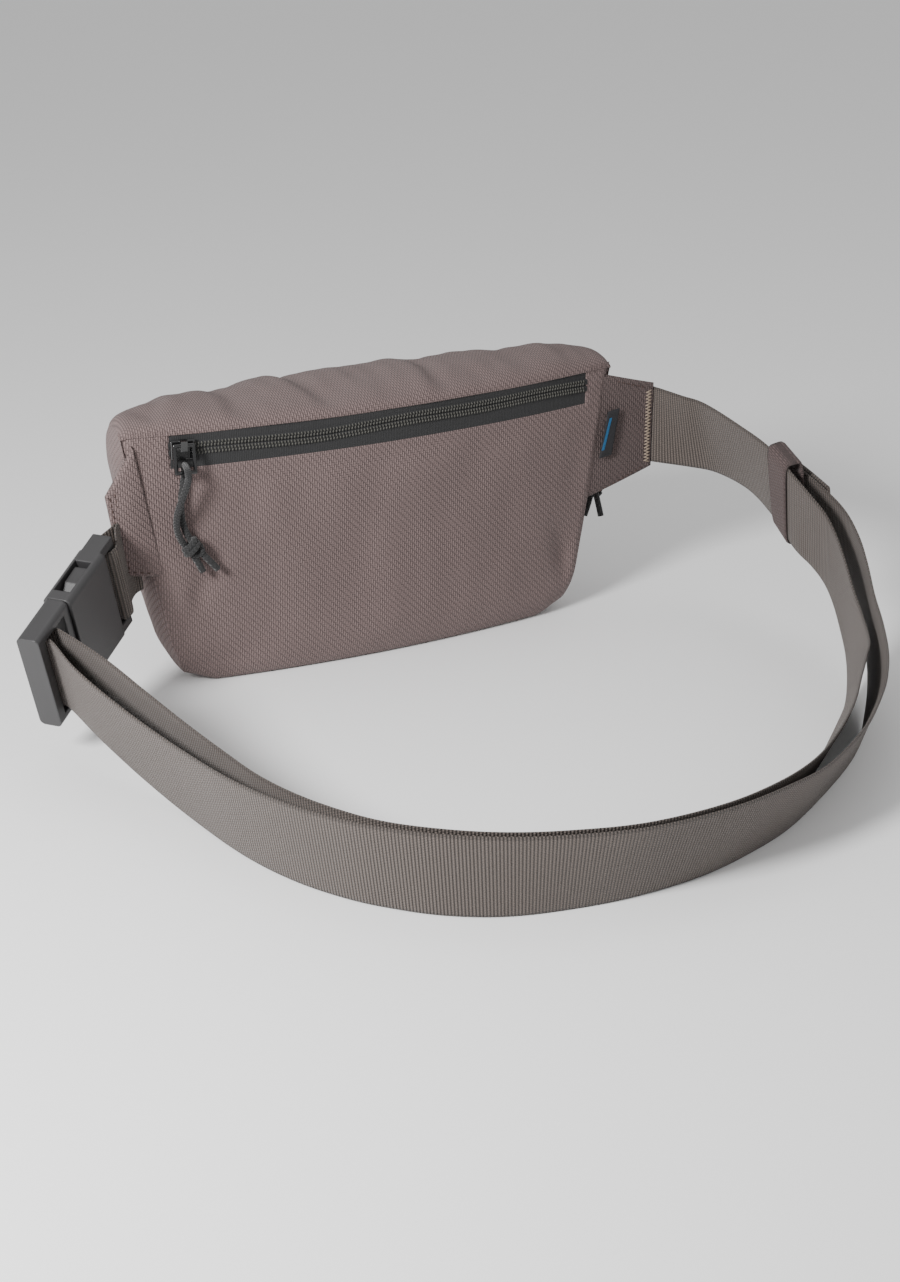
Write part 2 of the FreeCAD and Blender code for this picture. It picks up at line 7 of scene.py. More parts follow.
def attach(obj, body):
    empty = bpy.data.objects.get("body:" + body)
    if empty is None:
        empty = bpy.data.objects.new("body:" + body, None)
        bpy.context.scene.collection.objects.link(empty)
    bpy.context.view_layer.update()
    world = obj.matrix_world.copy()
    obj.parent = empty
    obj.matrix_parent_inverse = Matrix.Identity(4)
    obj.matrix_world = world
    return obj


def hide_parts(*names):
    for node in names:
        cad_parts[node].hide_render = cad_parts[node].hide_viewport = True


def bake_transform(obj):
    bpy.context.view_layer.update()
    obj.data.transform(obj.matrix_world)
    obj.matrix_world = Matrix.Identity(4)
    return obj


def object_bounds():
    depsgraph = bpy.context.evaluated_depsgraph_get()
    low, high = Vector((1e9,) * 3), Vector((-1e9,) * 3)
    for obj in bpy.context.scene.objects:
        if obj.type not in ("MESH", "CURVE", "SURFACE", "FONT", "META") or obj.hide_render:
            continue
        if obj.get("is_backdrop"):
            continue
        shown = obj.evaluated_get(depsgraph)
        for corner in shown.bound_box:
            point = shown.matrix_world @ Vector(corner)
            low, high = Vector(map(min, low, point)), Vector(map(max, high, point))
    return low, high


# Shapes are worked out in millimetres, in the part's own frame, and scaled when a mesh is made.
mm = 0.001
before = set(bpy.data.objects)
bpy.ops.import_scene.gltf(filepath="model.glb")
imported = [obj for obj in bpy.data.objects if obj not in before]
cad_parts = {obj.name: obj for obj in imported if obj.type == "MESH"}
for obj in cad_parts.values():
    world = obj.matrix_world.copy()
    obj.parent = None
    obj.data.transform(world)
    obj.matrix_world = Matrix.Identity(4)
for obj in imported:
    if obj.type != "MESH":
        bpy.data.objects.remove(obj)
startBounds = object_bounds()

bag = {"baseWidth": 200.0, "seamWidth": 245.0, "seamHeight": 123.0, "backRadius": 600.0, "backMiddle": -28.0,
       "frontRadius": 240.0, "depthBase": 24.0, "depthZip": 30.0}
zipRear = {"low": 105.0, "top": 122.0, "mid": 114.5, "left": -101.0, "right": 107.0}
zipMain = {"mid": 98.0, "low": 91.0, "top": 105.0}
foot = {"height": 24.0, "depth": 7.0, "sideTuck": 0.4, "cornerLift": 4.5, "cornerFrom": 0.84,
        "cornerHeight": 26.0}


def clamp(value, low=0.0, high=1.0):
    return max(low, min(high, value))


def smooth(value, low, high):
    t = clamp((value - low) / (high - low))
    return t * t * (3.0 - 2.0 * t)


def bump(value, centre, width):
    return math.exp(-((value - centre) / width) ** 2)


# Bag outline
def halfWidth(z):
    return bag["baseWidth"] / 2.0 + (bag["seamWidth"] - bag["baseWidth"]) / 2.0 / bag["seamHeight"] * z


def backY(x):
    return bag["backMiddle"] + bag["backRadius"] - math.sqrt(bag["backRadius"] ** 2 - x * x)


def frontCentre(z):
    w = halfWidth(z)
    depth = bag["depthBase"] + (bag["depthZip"] - bag["depthBase"]) * min(z, zipMain["mid"]) / zipMain["mid"]
    return backY(w) + depth - math.sqrt(bag["frontRadius"] ** 2 - w * w)


def frontY(x, z):
    return frontCentre(z) + math.sqrt(bag["frontRadius"] ** 2 - x * x)


def sink(z):
    # how far the walls tuck in just above the base
    t = clamp(1.0 - z / foot["height"])
    return foot["depth"] * (1.0 - math.sqrt(max(0.0, 1.0 - t * t)))


def cornerLift(part, z):
    # the lower corners are soft and stand a little off the floor; part runs from the middle to the side
    low = 1.0 - smooth(z, 0.0, foot["cornerHeight"])
    return foot["cornerLift"] * smooth(abs(part), foot["cornerFrom"], 1.0) * low


def ripple(x, z, scale, seed):
    return noise.noise(Vector((x / scale, z / scale, seed)))


# Mesh makers, used by every piece
def addMesh(name, verts, faces, uvs, material):
    mesh = bpy.data.meshes.new(name)
    mesh.from_pydata([tuple(Vector(v) * mm) for v in verts], [], faces)
    mesh.materials.append(material)
    if uvs:
        layer = mesh.uv_layers.new(name="UVMap")
        for loop in mesh.loops:
            layer.data[loop.index].uv = uvs[loop.vertex_index]
    for poly in mesh.polygons:
        poly.use_smooth = True
    mesh.update()
    piece = bpy.data.objects.new(name, mesh)
    bpy.context.scene.collection.objects.link(piece)
    return piece


def gridPiece(name, rows, uvRows, material):
    across = len(rows[0])
    verts = [p for row in rows for p in row]
    uvs = [uv for row in uvRows for uv in row]
    faces = []
    for i in range(len(rows) - 1):
        for j in range(across - 1):
            a = i * across + j
            faces.append((a, a + 1, a + across + 1, a + across))
    return addMesh(name, verts, faces, uvs, material)


def tubeFaces(count, ring, first=0):
    # quads between neighbouring rings of points, and a cap at both ends
    faces = []
    for i in range(count - 1):
        for k in range(ring):
            a = first + i * ring + k
            b = first + i * ring + (k + 1) % ring
            faces.append((a, b, b + ring, a + ring))
    faces.append(tuple(first + k for k in range(ring - 1, -1, -1)))
    faces.append(tuple(first + (count - 1) * ring + k for k in range(ring)))
    return faces


def rideAndReplace(piece, body, *nodes):
    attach(piece, body)
    if nodes:
        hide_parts(*nodes)
    return piece


def join(name, objects):
    bpy.ops.object.select_all(action="DESELECT")
    for o in objects:
        o.select_set(True)
    bpy.context.view_layer.objects.active = objects[0]
    bpy.ops.object.join()
    objects[0].name = name
    return objects[0]


def curveThrough(points, steps):
    # Catmull-Rom through a list of tuples of vectors
    out = []
    last = len(points) - 1
    for i in range(last):
        p0 = points[max(i - 1, 0)]
        p1 = points[i]
        p2 = points[i + 1]
        p3 = points[min(i + 2, last)]
        for k in range(steps):
            t = k / steps
            item = []
            for a, b, c, d in zip(p0, p1, p2, p3):
                bend = (2 * a - 5 * b + 4 * c - d) * t * t
                item.append(0.5 * (2 * b + (c - a) * t + bend + (3 * b - a - 3 * c + d) * t ** 3))
            out.append(tuple(item))
    out.append(tuple(points[last]))
    return out


strap = {"width": 38.0, "thick": 1.4, "foldThick": 2.6, "across": 14, "edge": 0.25}


def strapPiece(name, stations, thick, steps=8):
    # webbing through pairs of lower and upper edge points, thinner along both edges
    width, edgeShare = strap["width"], strap["edge"]
    pairs = curveThrough([(Vector(a), Vector(b)) for a, b in stations], steps)
    mids = [(a + b) * 0.5 for a, b in pairs]
    crossCount = strap["across"]
    verts, uvs = [], []
    along = 0.0
    for i, (low, high) in enumerate(pairs):
        if i:
            along += (mids[i] - mids[i - 1]).length
        ahead = mids[min(i + 1, len(mids) - 1)] - mids[max(i - 1, 0)]
        up = (high - low).normalized()
        out = ahead.cross(up).normalized()
        section = []
        for side in (-1, 1):
            order = range(crossCount + 1) if side < 0 else range(crossCount, -1, -1)
            for k in order:
                v = -math.cos(math.pi * k / crossCount)
                v = math.copysign(abs(v) ** 0.75, v)
                edge = clamp(1.0 - abs(v) ** 14)
                section.append((v, side * thick / 2.0 * (edgeShare + (1.0 - edgeShare) * math.sqrt(edge))))
        for v, off in section:
            verts.append(mids[i] + up * (v * width / 2.0) + out * off)
            uvs.append((along * mm, (v + 1.0) * width / 2.0 * mm))
    faces = tubeFaces(len(pairs), 2 * (crossCount + 1))
    return addMesh(name, verts, faces, uvs, webbing)


def beads(name, places, size, material, rings=4, sides=6):
    # many small rounded beads, each with a centre, a long axis and an outward axis
    verts, faces, uvs = [], [], []
    long, wide, deep = (v / 2 for v in size)
    for centre, along, out in places:
        a = along.normalized()
        o = (out - a * out.dot(a)).normalized()
        s = a.cross(o)
        base = len(verts)
        for i in range(rings + 1):
            t = -1.0 + 2.0 * i / rings
            r = math.sqrt(max(0.05, 1.0 - abs(t) ** 3))
            for k in range(sides):
                ang = 2 * math.pi * k / sides
                wall = s * (r * math.cos(ang) * wide) + o * (r * math.sin(ang) * deep)
                verts.append(centre + a * (t * long) + wall)
                uvs.append((t, k / sides))
        faces.extend(tubeFaces(rings + 1, sides, base))
    return addMesh(name, verts, faces, uvs, material)


# Shader groups and materials
def newGroup(name, inputs, outputs):
    tree = bpy.data.node_groups.new(name, "ShaderNodeTree")
    for kind, label, value in inputs:
        socket = tree.interface.new_socket(label, in_out="INPUT", socket_type=kind)
        if value is not None:
            socket.default_value = value
    for kind, label in outputs:
        tree.interface.new_socket(label, in_out="OUTPUT", socket_type=kind)
    return tree, tree.nodes.new("NodeGroupInput"), tree.nodes.new("NodeGroupOutput")


def mathNode(tree, operation, a, b=None, c=None):
    node = tree.nodes.new("ShaderNodeMath")
    node.operation = operation
    for i, value in enumerate((a, b, c)):
        if value is None:
            continue
        if isinstance(value, (int, float)):
            node.inputs[i].default_value = value
        else:
            tree.links.new(value, node.inputs[i])
    return node.outputs[0]


def wavyAbs(tree, value):
    return mathNode(tree, "ABSOLUTE", mathNode(tree, "SINE", mathNode(tree, "MULTIPLY", value, math.pi)))


def makeWeave():
    # woven cloth: warp and weft threads, with a twill step between them
    inputs = [("NodeSocketVector", "Vector", None), ("NodeSocketFloat", "Pitch", 0.001),
              ("NodeSocketFloat", "Repeat", 3.0)]
    outputs = [("NodeSocketFloat", "Height"), ("NodeSocketFloat", "Shade")]
    tree, gin, gout = newGroup("clothWeave", inputs, outputs)
    split = tree.nodes.new("ShaderNodeSeparateXYZ")
    tree.links.new(gin.outputs["Vector"], split.inputs[0])
    u = mathNode(tree, "DIVIDE", split.outputs[0], gin.outputs["Pitch"])
    v = mathNode(tree, "DIVIDE", split.outputs[1], gin.outputs["Pitch"])
    warp = wavyAbs(tree, u)
    weft = wavyAbs(tree, v)
    cell = mathNode(tree, "ADD", mathNode(tree, "FLOOR", u), mathNode(tree, "FLOOR", v))
    step = mathNode(tree, "FLOORED_MODULO", cell, gin.outputs["Repeat"])
    over = mathNode(tree, "LESS_THAN", step, mathNode(tree, "MULTIPLY", gin.outputs["Repeat"], 0.6))
    a = mathNode(tree, "MULTIPLY", warp, over)
    under = mathNode(tree, "SUBTRACT", 1.0, over)
    b = mathNode(tree, "MULTIPLY", mathNode(tree, "MULTIPLY", weft, 0.8), under)
    height = mathNode(tree, "ADD", a, b)
    tree.links.new(height, gout.inputs["Height"])
    lightness = mathNode(tree, "ADD", 0.7, mathNode(tree, "MULTIPLY", over, 0.3))
    shade = mathNode(tree, "MULTIPLY", height, lightness)
    tree.links.new(shade, gout.inputs["Shade"])
    return tree


def makeWebbingWeave():
    # ribs across the strap, split into a bead pattern, with a firmer row along both edges
    inputs = [("NodeSocketVector", "Vector", None), ("NodeSocketFloat", "Width", 0.038)]
    outputs = [("NodeSocketFloat", "Height"), ("NodeSocketFloat", "Shade"), ("NodeSocketFloat", "Edge")]
    tree, gin, gout = newGroup("webbingWeave", inputs, outputs)
    split = tree.nodes.new("ShaderNodeSeparateXYZ")
    tree.links.new(gin.outputs["Vector"], split.inputs[0])
    u = mathNode(tree, "DIVIDE", split.outputs[0], 0.00135)
    v = mathNode(tree, "DIVIDE", split.outputs[1], 0.00115)
    shifted = mathNode(tree, "ADD", v, mathNode(tree, "MULTIPLY", mathNode(tree, "FLOOR", u), 0.5))
    rib = wavyAbs(tree, u)
    bead = wavyAbs(tree, shifted)
    notch = mathNode(tree, "ADD", 0.55, mathNode(tree, "MULTIPLY", bead, 0.45))
    height = mathNode(tree, "MULTIPLY", rib, notch)
    half = mathNode(tree, "MULTIPLY", gin.outputs["Width"], 0.5)
    away = mathNode(tree, "ABSOLUTE", mathNode(tree, "SUBTRACT", split.outputs[1], half))
    edge = mathNode(tree, "GREATER_THAN", away, mathNode(tree, "SUBTRACT", half, 0.0013))
    tree.links.new(height, gout.inputs["Height"])
    tree.links.new(height, gout.inputs["Shade"])
    tree.links.new(edge, gout.inputs["Edge"])
    return tree


def makeMottle():
    # slow and fast unevenness of a surface, centred on one
    inputs = [("NodeSocketVector", "Vector", None), ("NodeSocketFloat", "Coarse", 25.0),
              ("NodeSocketFloat", "Fine", 900.0), ("NodeSocketFloat", "Amount", 0.1)]
    tree, gin, gout = newGroup("mottle", inputs, [("NodeSocketFloat", "Factor")])
    total = None
    for label, weight in (("Coarse", 0.7), ("Fine", 0.5)):
        tex = tree.nodes.new("ShaderNodeTexNoise")
        tex.inputs["Detail"].default_value = 3.0
        tree.links.new(gin.outputs["Vector"], tex.inputs["Vector"])
        tree.links.new(gin.outputs[label], tex.inputs["Scale"])
        part = mathNode(tree, "MULTIPLY", mathNode(tree, "SUBTRACT", tex.outputs[0], 0.5), weight)
        total = part if total is None else mathNode(tree, "ADD", total, part)
    factor = mathNode(tree, "ADD", 1.0, mathNode(tree, "MULTIPLY", total, gin.outputs["Amount"]))
    tree.links.new(factor, gout.inputs["Factor"])
    return tree


weaveGroup = makeWeave()
webbingGroup = makeWebbingWeave()
mottleGroup = makeMottle()


def baseMaterial(name, roughness, sheen=0.0):
    mat = bpy.data.materials.new(name)
    mat.use_nodes = True
    tree = mat.node_tree
    shader = tree.nodes["Principled BSDF"]
    shader.inputs["Roughness"].default_value = roughness
    if sheen:
        shader.inputs["Sheen Weight"].default_value = sheen
        shader.inputs["Sheen Roughness"].default_value = 0.5
    return mat, tree, shader


def useGroup(tree, group, **values):
    node = tree.nodes.new("ShaderNodeGroup")
    node.node_tree = group
    for label, value in values.items():
        if isinstance(value, (int, float)):
            node.inputs[label].default_value = value
        else:
            tree.links.new(value, node.inputs[label])
    return node


def coordinate(tree, label):
    return tree.nodes.new("ShaderNodeTexCoord").outputs[label]


def shadeColour(tree, shader, colour, factor):
    # colour times a factor
    mix = tree.nodes.new("ShaderNodeVectorMath")
    mix.operation = "SCALE"
    mix.inputs[0].default_value = colour
    tree.links.new(factor, mix.inputs["Scale"])
    tree.links.new(mix.outputs[0], shader.inputs["Base Color"])


def addBump(tree, shader, height, distance, strength=1.0):
    node = tree.nodes.new("ShaderNodeBump")
    node.inputs["Distance"].default_value = distance
    node.inputs["Strength"].default_value = strength
    tree.links.new(height, node.inputs["Height"])
    tree.links.new(node.outputs[0], shader.inputs["Normal"])


def mottled(tree, coarse, fine, amount):
    place = coordinate(tree, "Object")
    group = useGroup(tree, mottleGroup, Vector=place, Coarse=coarse, Fine=fine, Amount=amount)
    return group.outputs["Factor"]


def clothMaterial(name, colour, pitch, depth, repeat=2.0, roughness=0.85, contrast=0.5, sheen=0.0,
                  amount=0.14):
    mat, tree, shader = baseMaterial(name, roughness, sheen)
    uv = coordinate(tree, "UV")
    weave = useGroup(tree, weaveGroup, Vector=uv, Pitch=pitch, Repeat=repeat)
    threads = mathNode(tree, "MULTIPLY", weave.outputs["Shade"], contrast)
    tone = mathNode(tree, "ADD", 1.0 - contrast * 0.45, threads)
    shadeColour(tree, shader, colour, mathNode(tree, "MULTIPLY", tone, mottled(tree, 35.0, 1500.0, amount)))
    addBump(tree, shader, weave.outputs["Height"], depth)
    return mat


def webbingMaterial(name, colour):
    mat, tree, shader = baseMaterial(name, 0.72, 0.1)
    weave = useGroup(tree, webbingGroup, Vector=coordinate(tree, "UV"), Width=0.038)
    tone = mathNode(tree, "ADD", 0.28, mathNode(tree, "MULTIPLY", weave.outputs["Shade"], 1.2))
    edgeShade = mathNode(tree, "SUBTRACT", 1.0, mathNode(tree, "MULTIPLY", weave.outputs["Edge"], 0.3))
    tone = mathNode(tree, "MULTIPLY", tone, edgeShade)
    shadeColour(tree, shader, colour, mathNode(tree, "MULTIPLY", tone, mottled(tree, 30.0, 1800.0, 0.16)))
    addBump(tree, shader, weave.outputs["Height"], 0.0006)
    return mat


def cordMaterial(name, colour):
    # braid: two crossing sets of slanted strands
    mat, tree, shader = baseMaterial(name, 0.7, 0.2)
    uv = coordinate(tree, "UV")
    split = tree.nodes.new("ShaderNodeSeparateXYZ")
    tree.links.new(uv, split.inputs[0])
    u = mathNode(tree, "MULTIPLY", split.outputs[0], 42.0)
    v = mathNode(tree, "MULTIPLY", split.outputs[1], 4.0)
    rising = wavyAbs(tree, mathNode(tree, "ADD", u, v))
    height = mathNode(tree, "MULTIPLY", rising, wavyAbs(tree, mathNode(tree, "SUBTRACT", u, v)))
    shadeColour(tree, shader, colour, mathNode(tree, "ADD", 0.6, height))
    addBump(tree, shader, height, 0.0003)
    return mat


def plainMaterial(name, colour, roughness, grain=0.0, coat=0.0, edge=0.0):
    mat, tree, shader = baseMaterial(name, roughness)
    shader.inputs["Coat Weight"].default_value = coat
    factor = mottled(tree, 60.0, 2200.0, 0.25)
    shadeColour(tree, shader, colour, factor)
    rough = mathNode(tree, "MULTIPLY", factor, roughness)
    tree.links.new(rough, shader.inputs["Roughness"])
    normal = None
    if edge:
        soft = tree.nodes.new("ShaderNodeBevel")
        soft.samples = 6
        soft.inputs["Radius"].default_value = edge
        normal = soft.outputs[0]
        tree.links.new(normal, shader.inputs["Normal"])
    if grain:
        fine = tree.nodes.new("ShaderNodeTexNoise")
        fine.inputs["Scale"].default_value = 2600.0
        tree.links.new(coordinate(tree, "Object"), fine.inputs["Vector"])
        node = tree.nodes.new("ShaderNodeBump")
        node.inputs["Distance"].default_value = grain
        tree.links.new(fine.outputs[0], node.inputs["Height"])
        if normal:
            tree.links.new(normal, node.inputs["Normal"])
        tree.links.new(node.outputs[0], shader.inputs["Normal"])
    return mat


canvas = {"pitch": 0.00105, "depth": 0.00032, "repeat": 3.0, "contrast": 0.85, "amount": 0.2}
fabric = clothMaterial("bagCanvas", (0.128, 0.090, 0.086), sheen=0.06, **canvas)
# painted shade: a darker copy of the bag canvas, the same cloth, used on the right wing and the keeper loop
# where they sit in shade
paintedShadeFabric = clothMaterial("paintedShadeCanvas", (0.070, 0.049, 0.047), sheen=0.04, **canvas)
lining = clothMaterial("liningCloth", (0.03, 0.03, 0.032), 0.0007, 0.0001, repeat=3.0, sheen=0.15)
webbing = webbingMaterial("beltWebbing", (0.090, 0.071, 0.061))
tapeCloth = clothMaterial("zipTape", (0.0165, 0.0165, 0.017), 0.0008, 0.00012, roughness=0.9, contrast=0.7,
                          sheen=0.05)
coilPlastic = plainMaterial("zipCoil", (0.060, 0.058, 0.050), 0.5)
zipMetal = plainMaterial("zipMetal", (0.006, 0.006, 0.0065), 0.16, coat=0.7, edge=0.0003)
cordCloth = cordMaterial("pullCord", (0.008, 0.008, 0.0085))
bucklePlastic = plainMaterial("bucklePlastic", (0.036, 0.035, 0.036), 0.38, grain=0.00003, edge=0.0011)
threadDark = plainMaterial("threadDark", (0.055, 0.03, 0.024), 0.8)
threadTan = plainMaterial("threadTan", (0.30, 0.235, 0.18), 0.8)
labelCloth = clothMaterial("labelCloth", (0.012, 0.012, 0.014), 0.0005, 0.00005, contrast=0.3)
labelBand = plainMaterial("labelBand", (0.008, 0.08, 0.18), 0.8)
print("materials done")


# The bag's fabric panels
def seamDip(edgeGap):
    # fabric pulls in beside a seam
    return 1.0 * (1.0 - smooth(edgeGap, 0.0, 3.2))


def rearPoint(x, z):
    w = halfWidth(z)
    gap = w - abs(x)
    y = backY(x) + sink(z) + seamDip(gap)
    body = smooth(gap, 0.0, 16.0) * smooth(z, 0.0, 16.0) * smooth(zipRear["low"] - z, 0.5, 14.0)
    puff = 1.6 * math.sin(math.pi * clamp(z / 112.0)) * math.cos(x / w * math.pi / 2.0)
    folds = 1.7 * ripple(x * 1.5, z, 46.0, 3.1) + 0.8 * ripple(x, z * 0.6, 17.0, 8.4)
    left = 1.5 * bump(x + 0.35 * (z - 45.0), -99.0, 5.0) * bump(z, 44.0, 12.0)
    left -= 1.5 * bump(x - 0.4 * (z - 40.0), -93.0, 6.0) * bump(z, 50.0, 14.0)
    right = -1.8 * bump(x + 0.25 * z, 104.0, 6.0) * bump(z, 30.0, 16.0)
    pinch = 0.7 * bump(z, 9.0, 7.0) * math.sin(x / 11.0)
    y -= body * (puff + folds + pinch * smooth(abs(x), 20.0, 80.0)) + smooth(gap, 0.5, 8.0) * (left + right)
    return Vector((x * (w - foot["sideTuck"] * sink(z)) / w, y, z + cornerLift(x / w, z)))


def hemLift(x):
    return 1.1 * ripple(x, 0.0, 34.0, 5.5)


def panelUv(x, z):
    return (x * mm, z * mm)


def makeRear():
    rows, uvs = [], []
    xSteps, zSteps = 220, 110
    for j in range(zSteps + 1):
        z = zipRear["low"] * (j / zSteps) ** 1.12
        w = halfWidth(z)
        row = [rearPoint(w * (-1.0 + 2.0 * i / xSteps), z) for i in range(xSteps + 1)]
        rows.append(row)
        uvs.append([panelUv(p.x, p.z) for p in row])
    # folded top edge of the pocket, turned in over the zip tape
    for lift, inward in ((0.55, 0.25), (0.75, 0.9), (0.3, 1.5)):
        row = [p + Vector((0, inward, lift)) for p in rows[zSteps]]
        rows.append(row)
        uvs.append([panelUv(p.x, p.z) for p in row])
    piece = gridPiece("rearPocketPanel", rows, uvs, fabric)
    return rideAndReplace(piece, "bag", "rear_pocket_panel")


def topProfile(x, t):
    # from the rear zip's upper edge over the crown to the main zip's upper edge
    w = halfWidth(zipRear["top"])
    s = clamp(abs(x) / w)
    full = 0.32 + 0.68 * clamp(1.0 - s ** 11) ** 0.42
    yb = backY(x)
    xf = x * halfWidth(zipMain["top"]) / w
    yf = frontY(xf, zipMain["top"])
    top = zipRear["top"]
    pts = [(yb, top), (yb - 1.2 * full, top + 10.5 * full), (yf + 1.0, top + 16.5 * full), (yf, zipMain["top"])]
    k = [(1 - t) ** 3, 3 * t * (1 - t) ** 2, 3 * t * t * (1 - t), t ** 3]
    y = sum(a * p[0] for a, p in zip(k, pts))
    z = sum(a * p[1] for a, p in zip(k, pts))
    return Vector((x + (xf - x) * t, y, z))


# dips across the crown: depth, slant, place along the bag and width
crownDips = ((1.9, 14, -22.0, 7.0), (1.4, -10, 28.0, 6.0), (1.0, 8, -62.0, 9.0), (1.1, 0, 76.0, 8.0))


def topPoint(x, t):
    p = topProfile(x, t)
    w = halfWidth(zipRear["top"])
    gap = w - abs(x)
    body = smooth(gap, 0.0, 14.0) * smooth(t, 0.0, 0.3) * smooth(1.0 - t, 0.0, 0.2)
    dips = sum(depth * bump(x + slant * t, place, width) for depth, slant, place, width in crownDips)
    swell = 1.3 * ripple(x, t * 30.0, 21.0, 1.7) + 0.8 * ripple(x, t * 40.0, 9.0, 6.1)
    lift = body * (1.2 * swell - 1.2 * dips * (1.0 - 0.4 * t)) - seamDip(gap) * 0.6
    p.z += lift
    p.y -= lift * 0.7 * (1.0 - t)
    return p


def makeTop():
    rows, uvs = [], []
    xSteps, tSteps = 220, 48
    w = halfWidth(zipRear["top"])
    edge = []
    for i in range(xSteps + 1):
        x = w * (-1.0 + 2.0 * i / xSteps)
        edge.append(topPoint(x, 0.0))
    # the lower hem hangs a little over the tape
    for drop, inward in ((-0.4, 1.6), (-1.1, 0.9), (-1.2, 0.0), (-0.7, -0.55)):
        rows.append([p + Vector((0, inward, drop - 0.25 * hemLift(p.x))) for p in edge])
    for j in range(tSteps + 1):
        t = j / tSteps
        rows.append([topPoint(w * (-1.0 + 2.0 * i / xSteps), t) for i in range(xSteps + 1)])
    run = 0.0
    middle = xSteps // 2
    for j, row in enumerate(rows):
        if j:
            run += (row[middle] - rows[j - 1][middle]).length
        uvs.append([(p.x * mm, run * mm) for p in row])
    piece = gridPiece("topPanel", rows, uvs, fabric)
    return rideAndReplace(piece, "bag", "top_panel")


def gussetPoint(side, u, v):
    # u runs up, v from the rear seam to the front seam
    w = halfWidth(zipRear["top"])
    top = topProfile(side * w, v)
    z = u * top.z
    wz = halfWidth(min(z, 124.0))
    yBack = backY(wz) + sink(z) + 1.0
    yFront = frontY(wz, min(z, zipMain["top"])) - sink(z)
    yLine = yBack + (yFront - yBack) * v
    y = yLine + (top.y - (backY(w) + (frontY(w * 0.97, zipMain["top"]) - backY(w)) * v)) * u ** 6
    arch = math.sin(math.pi * v) ** 0.7
    bulge = (5.2 if side < 0 else 3.6) * arch * math.sin(math.pi * clamp(u * 0.96)) ** 0.8
    crease = 1.4 * ripple(v * 26.0, z, 15.0, 11.0 + side) * arch * math.sin(math.pi * u)
    wall = Vector((side * (wz - foot["sideTuck"] * sink(z) + bulge + crease), y, z + cornerLift(1.0, z)))
    hold = smooth(u, 0.88, 1.0)
    return wall * (1.0 - hold) + topPoint(side * w, v) * hold


def makeGusset(side, node, name):
    rows, uvs = [], []
    uSteps, vSteps = 96, 36
    for j in range(uSteps + 1):
        u = (j / uSteps) ** 1.05
        row = [gussetPoint(side, u, i / vSteps) for i in range(vSteps + 1)]
        if side < 0:
            row.reverse()
        rows.append(row)
        uvs.append([(p.y * mm, p.z * mm) for p in row])
    piece = gridPiece(name, rows, uvs, fabric)
    return rideAndReplace(piece, "bag", node)


def frontPoint(x, z):
    w = halfWidth(z)
    gap = w - abs(x)
    y = frontY(x, z) - sink(z) - seamDip(gap) * 0.8
    body = smooth(gap, 0.0, 16.0) * smooth(z, 0.0, 14.0) * smooth(zipMain["low"] - z, 0.5, 12.0)
    folds = 1.0 * ripple(x * 1.4, z, 40.0, 21.0) + 0.5 * ripple(x, z, 16.0, 23.0)
    y += body * (folds + 1.2 * math.sin(math.pi * clamp(z / 98.0)))
    return Vector((x * (w - foot["sideTuck"] * sink(z)) / w, y, z + cornerLift(x / w, z)))


def makeFront():
    rows, uvs = [], []
    xSteps, zSteps = 180, 80
    for j in range(zSteps + 1):
        z = zipMain["low"] * (j / zSteps) ** 1.1
        w = halfWidth(z)
        row = [frontPoint(w * (1.0 - 2.0 * i / xSteps), z) for i in range(xSteps + 1)]
        rows.append(row)
        uvs.append([panelUv(p.x, p.z) for p in row])
    for lift, inward in ((0.5, -0.3), (0.7, -1.0), (0.3, -1.5)):
        row = [p + Vector((0, inward, lift)) for p in rows[zSteps]]
        rows.append(row)
        uvs.append([panelUv(p.x, p.z) for p in row])
    piece = gridPiece("frontPanel", rows, uvs, fabric)
    return rideAndReplace(piece, "bag", "front_panel")


def makeBase():
    rows, uvs = [], []
    steps, across = 90, 20
    w0 = halfWidth(0.0)
    reach = w0 - foot["sideTuck"] * foot["depth"]
    for j in range(across + 1):
        v = j / across
        row = []
        for i in range(steps + 1):
            s = -1.0 + 2.0 * i / steps
            x = s * w0
            yb = backY(x) + foot["depth"] + seamDip(w0 - abs(x))
            yf = frontY(x, 0.0) - foot["depth"] - seamDip(w0 - abs(x)) * 0.8
            row.append(Vector((s * reach, yb + (yf - yb) * v, cornerLift(s, 0.0))))
        row.reverse()
        rows.append(row)
        uvs.append([panelUv(p.x, p.y) for p in row])
    piece = gridPiece("basePanel", rows, uvs, fabric)
    return rideAndReplace(piece, "bag", "base_panel")


def makeTab(node, name, side, inner):
    rows, uvs = [], []
    for j in range(17):
        z = zipRear["low"] - 1.0 + (zipRear["top"] - zipRear["low"] + 2.0) * j / 16
        row = []
        outer = side * (halfWidth(z) + 0.2)
        for i in range(15):
            x = outer + (inner - outer) * (i if side < 0 else 14 - i) / 14
            edge = abs(x - inner)
            gap = halfWidth(z) - abs(x)
            y = backY(x) + 0.9 - 0.9 * smooth(edge, 0.0, 1.2) * (1.0 - smooth(gap, 4.0, 0.0))
            row.append(Vector((x, y + seamDip(gap) + 0.35 * ripple(x, z, 6.0, 4.0), z)))
        rows.append(row)
        uvs.append([panelUv(p.x, p.z) for p in row])
    piece = gridPiece(name, rows, uvs, fabric)
    return rideAndReplace(piece, "bag", node)


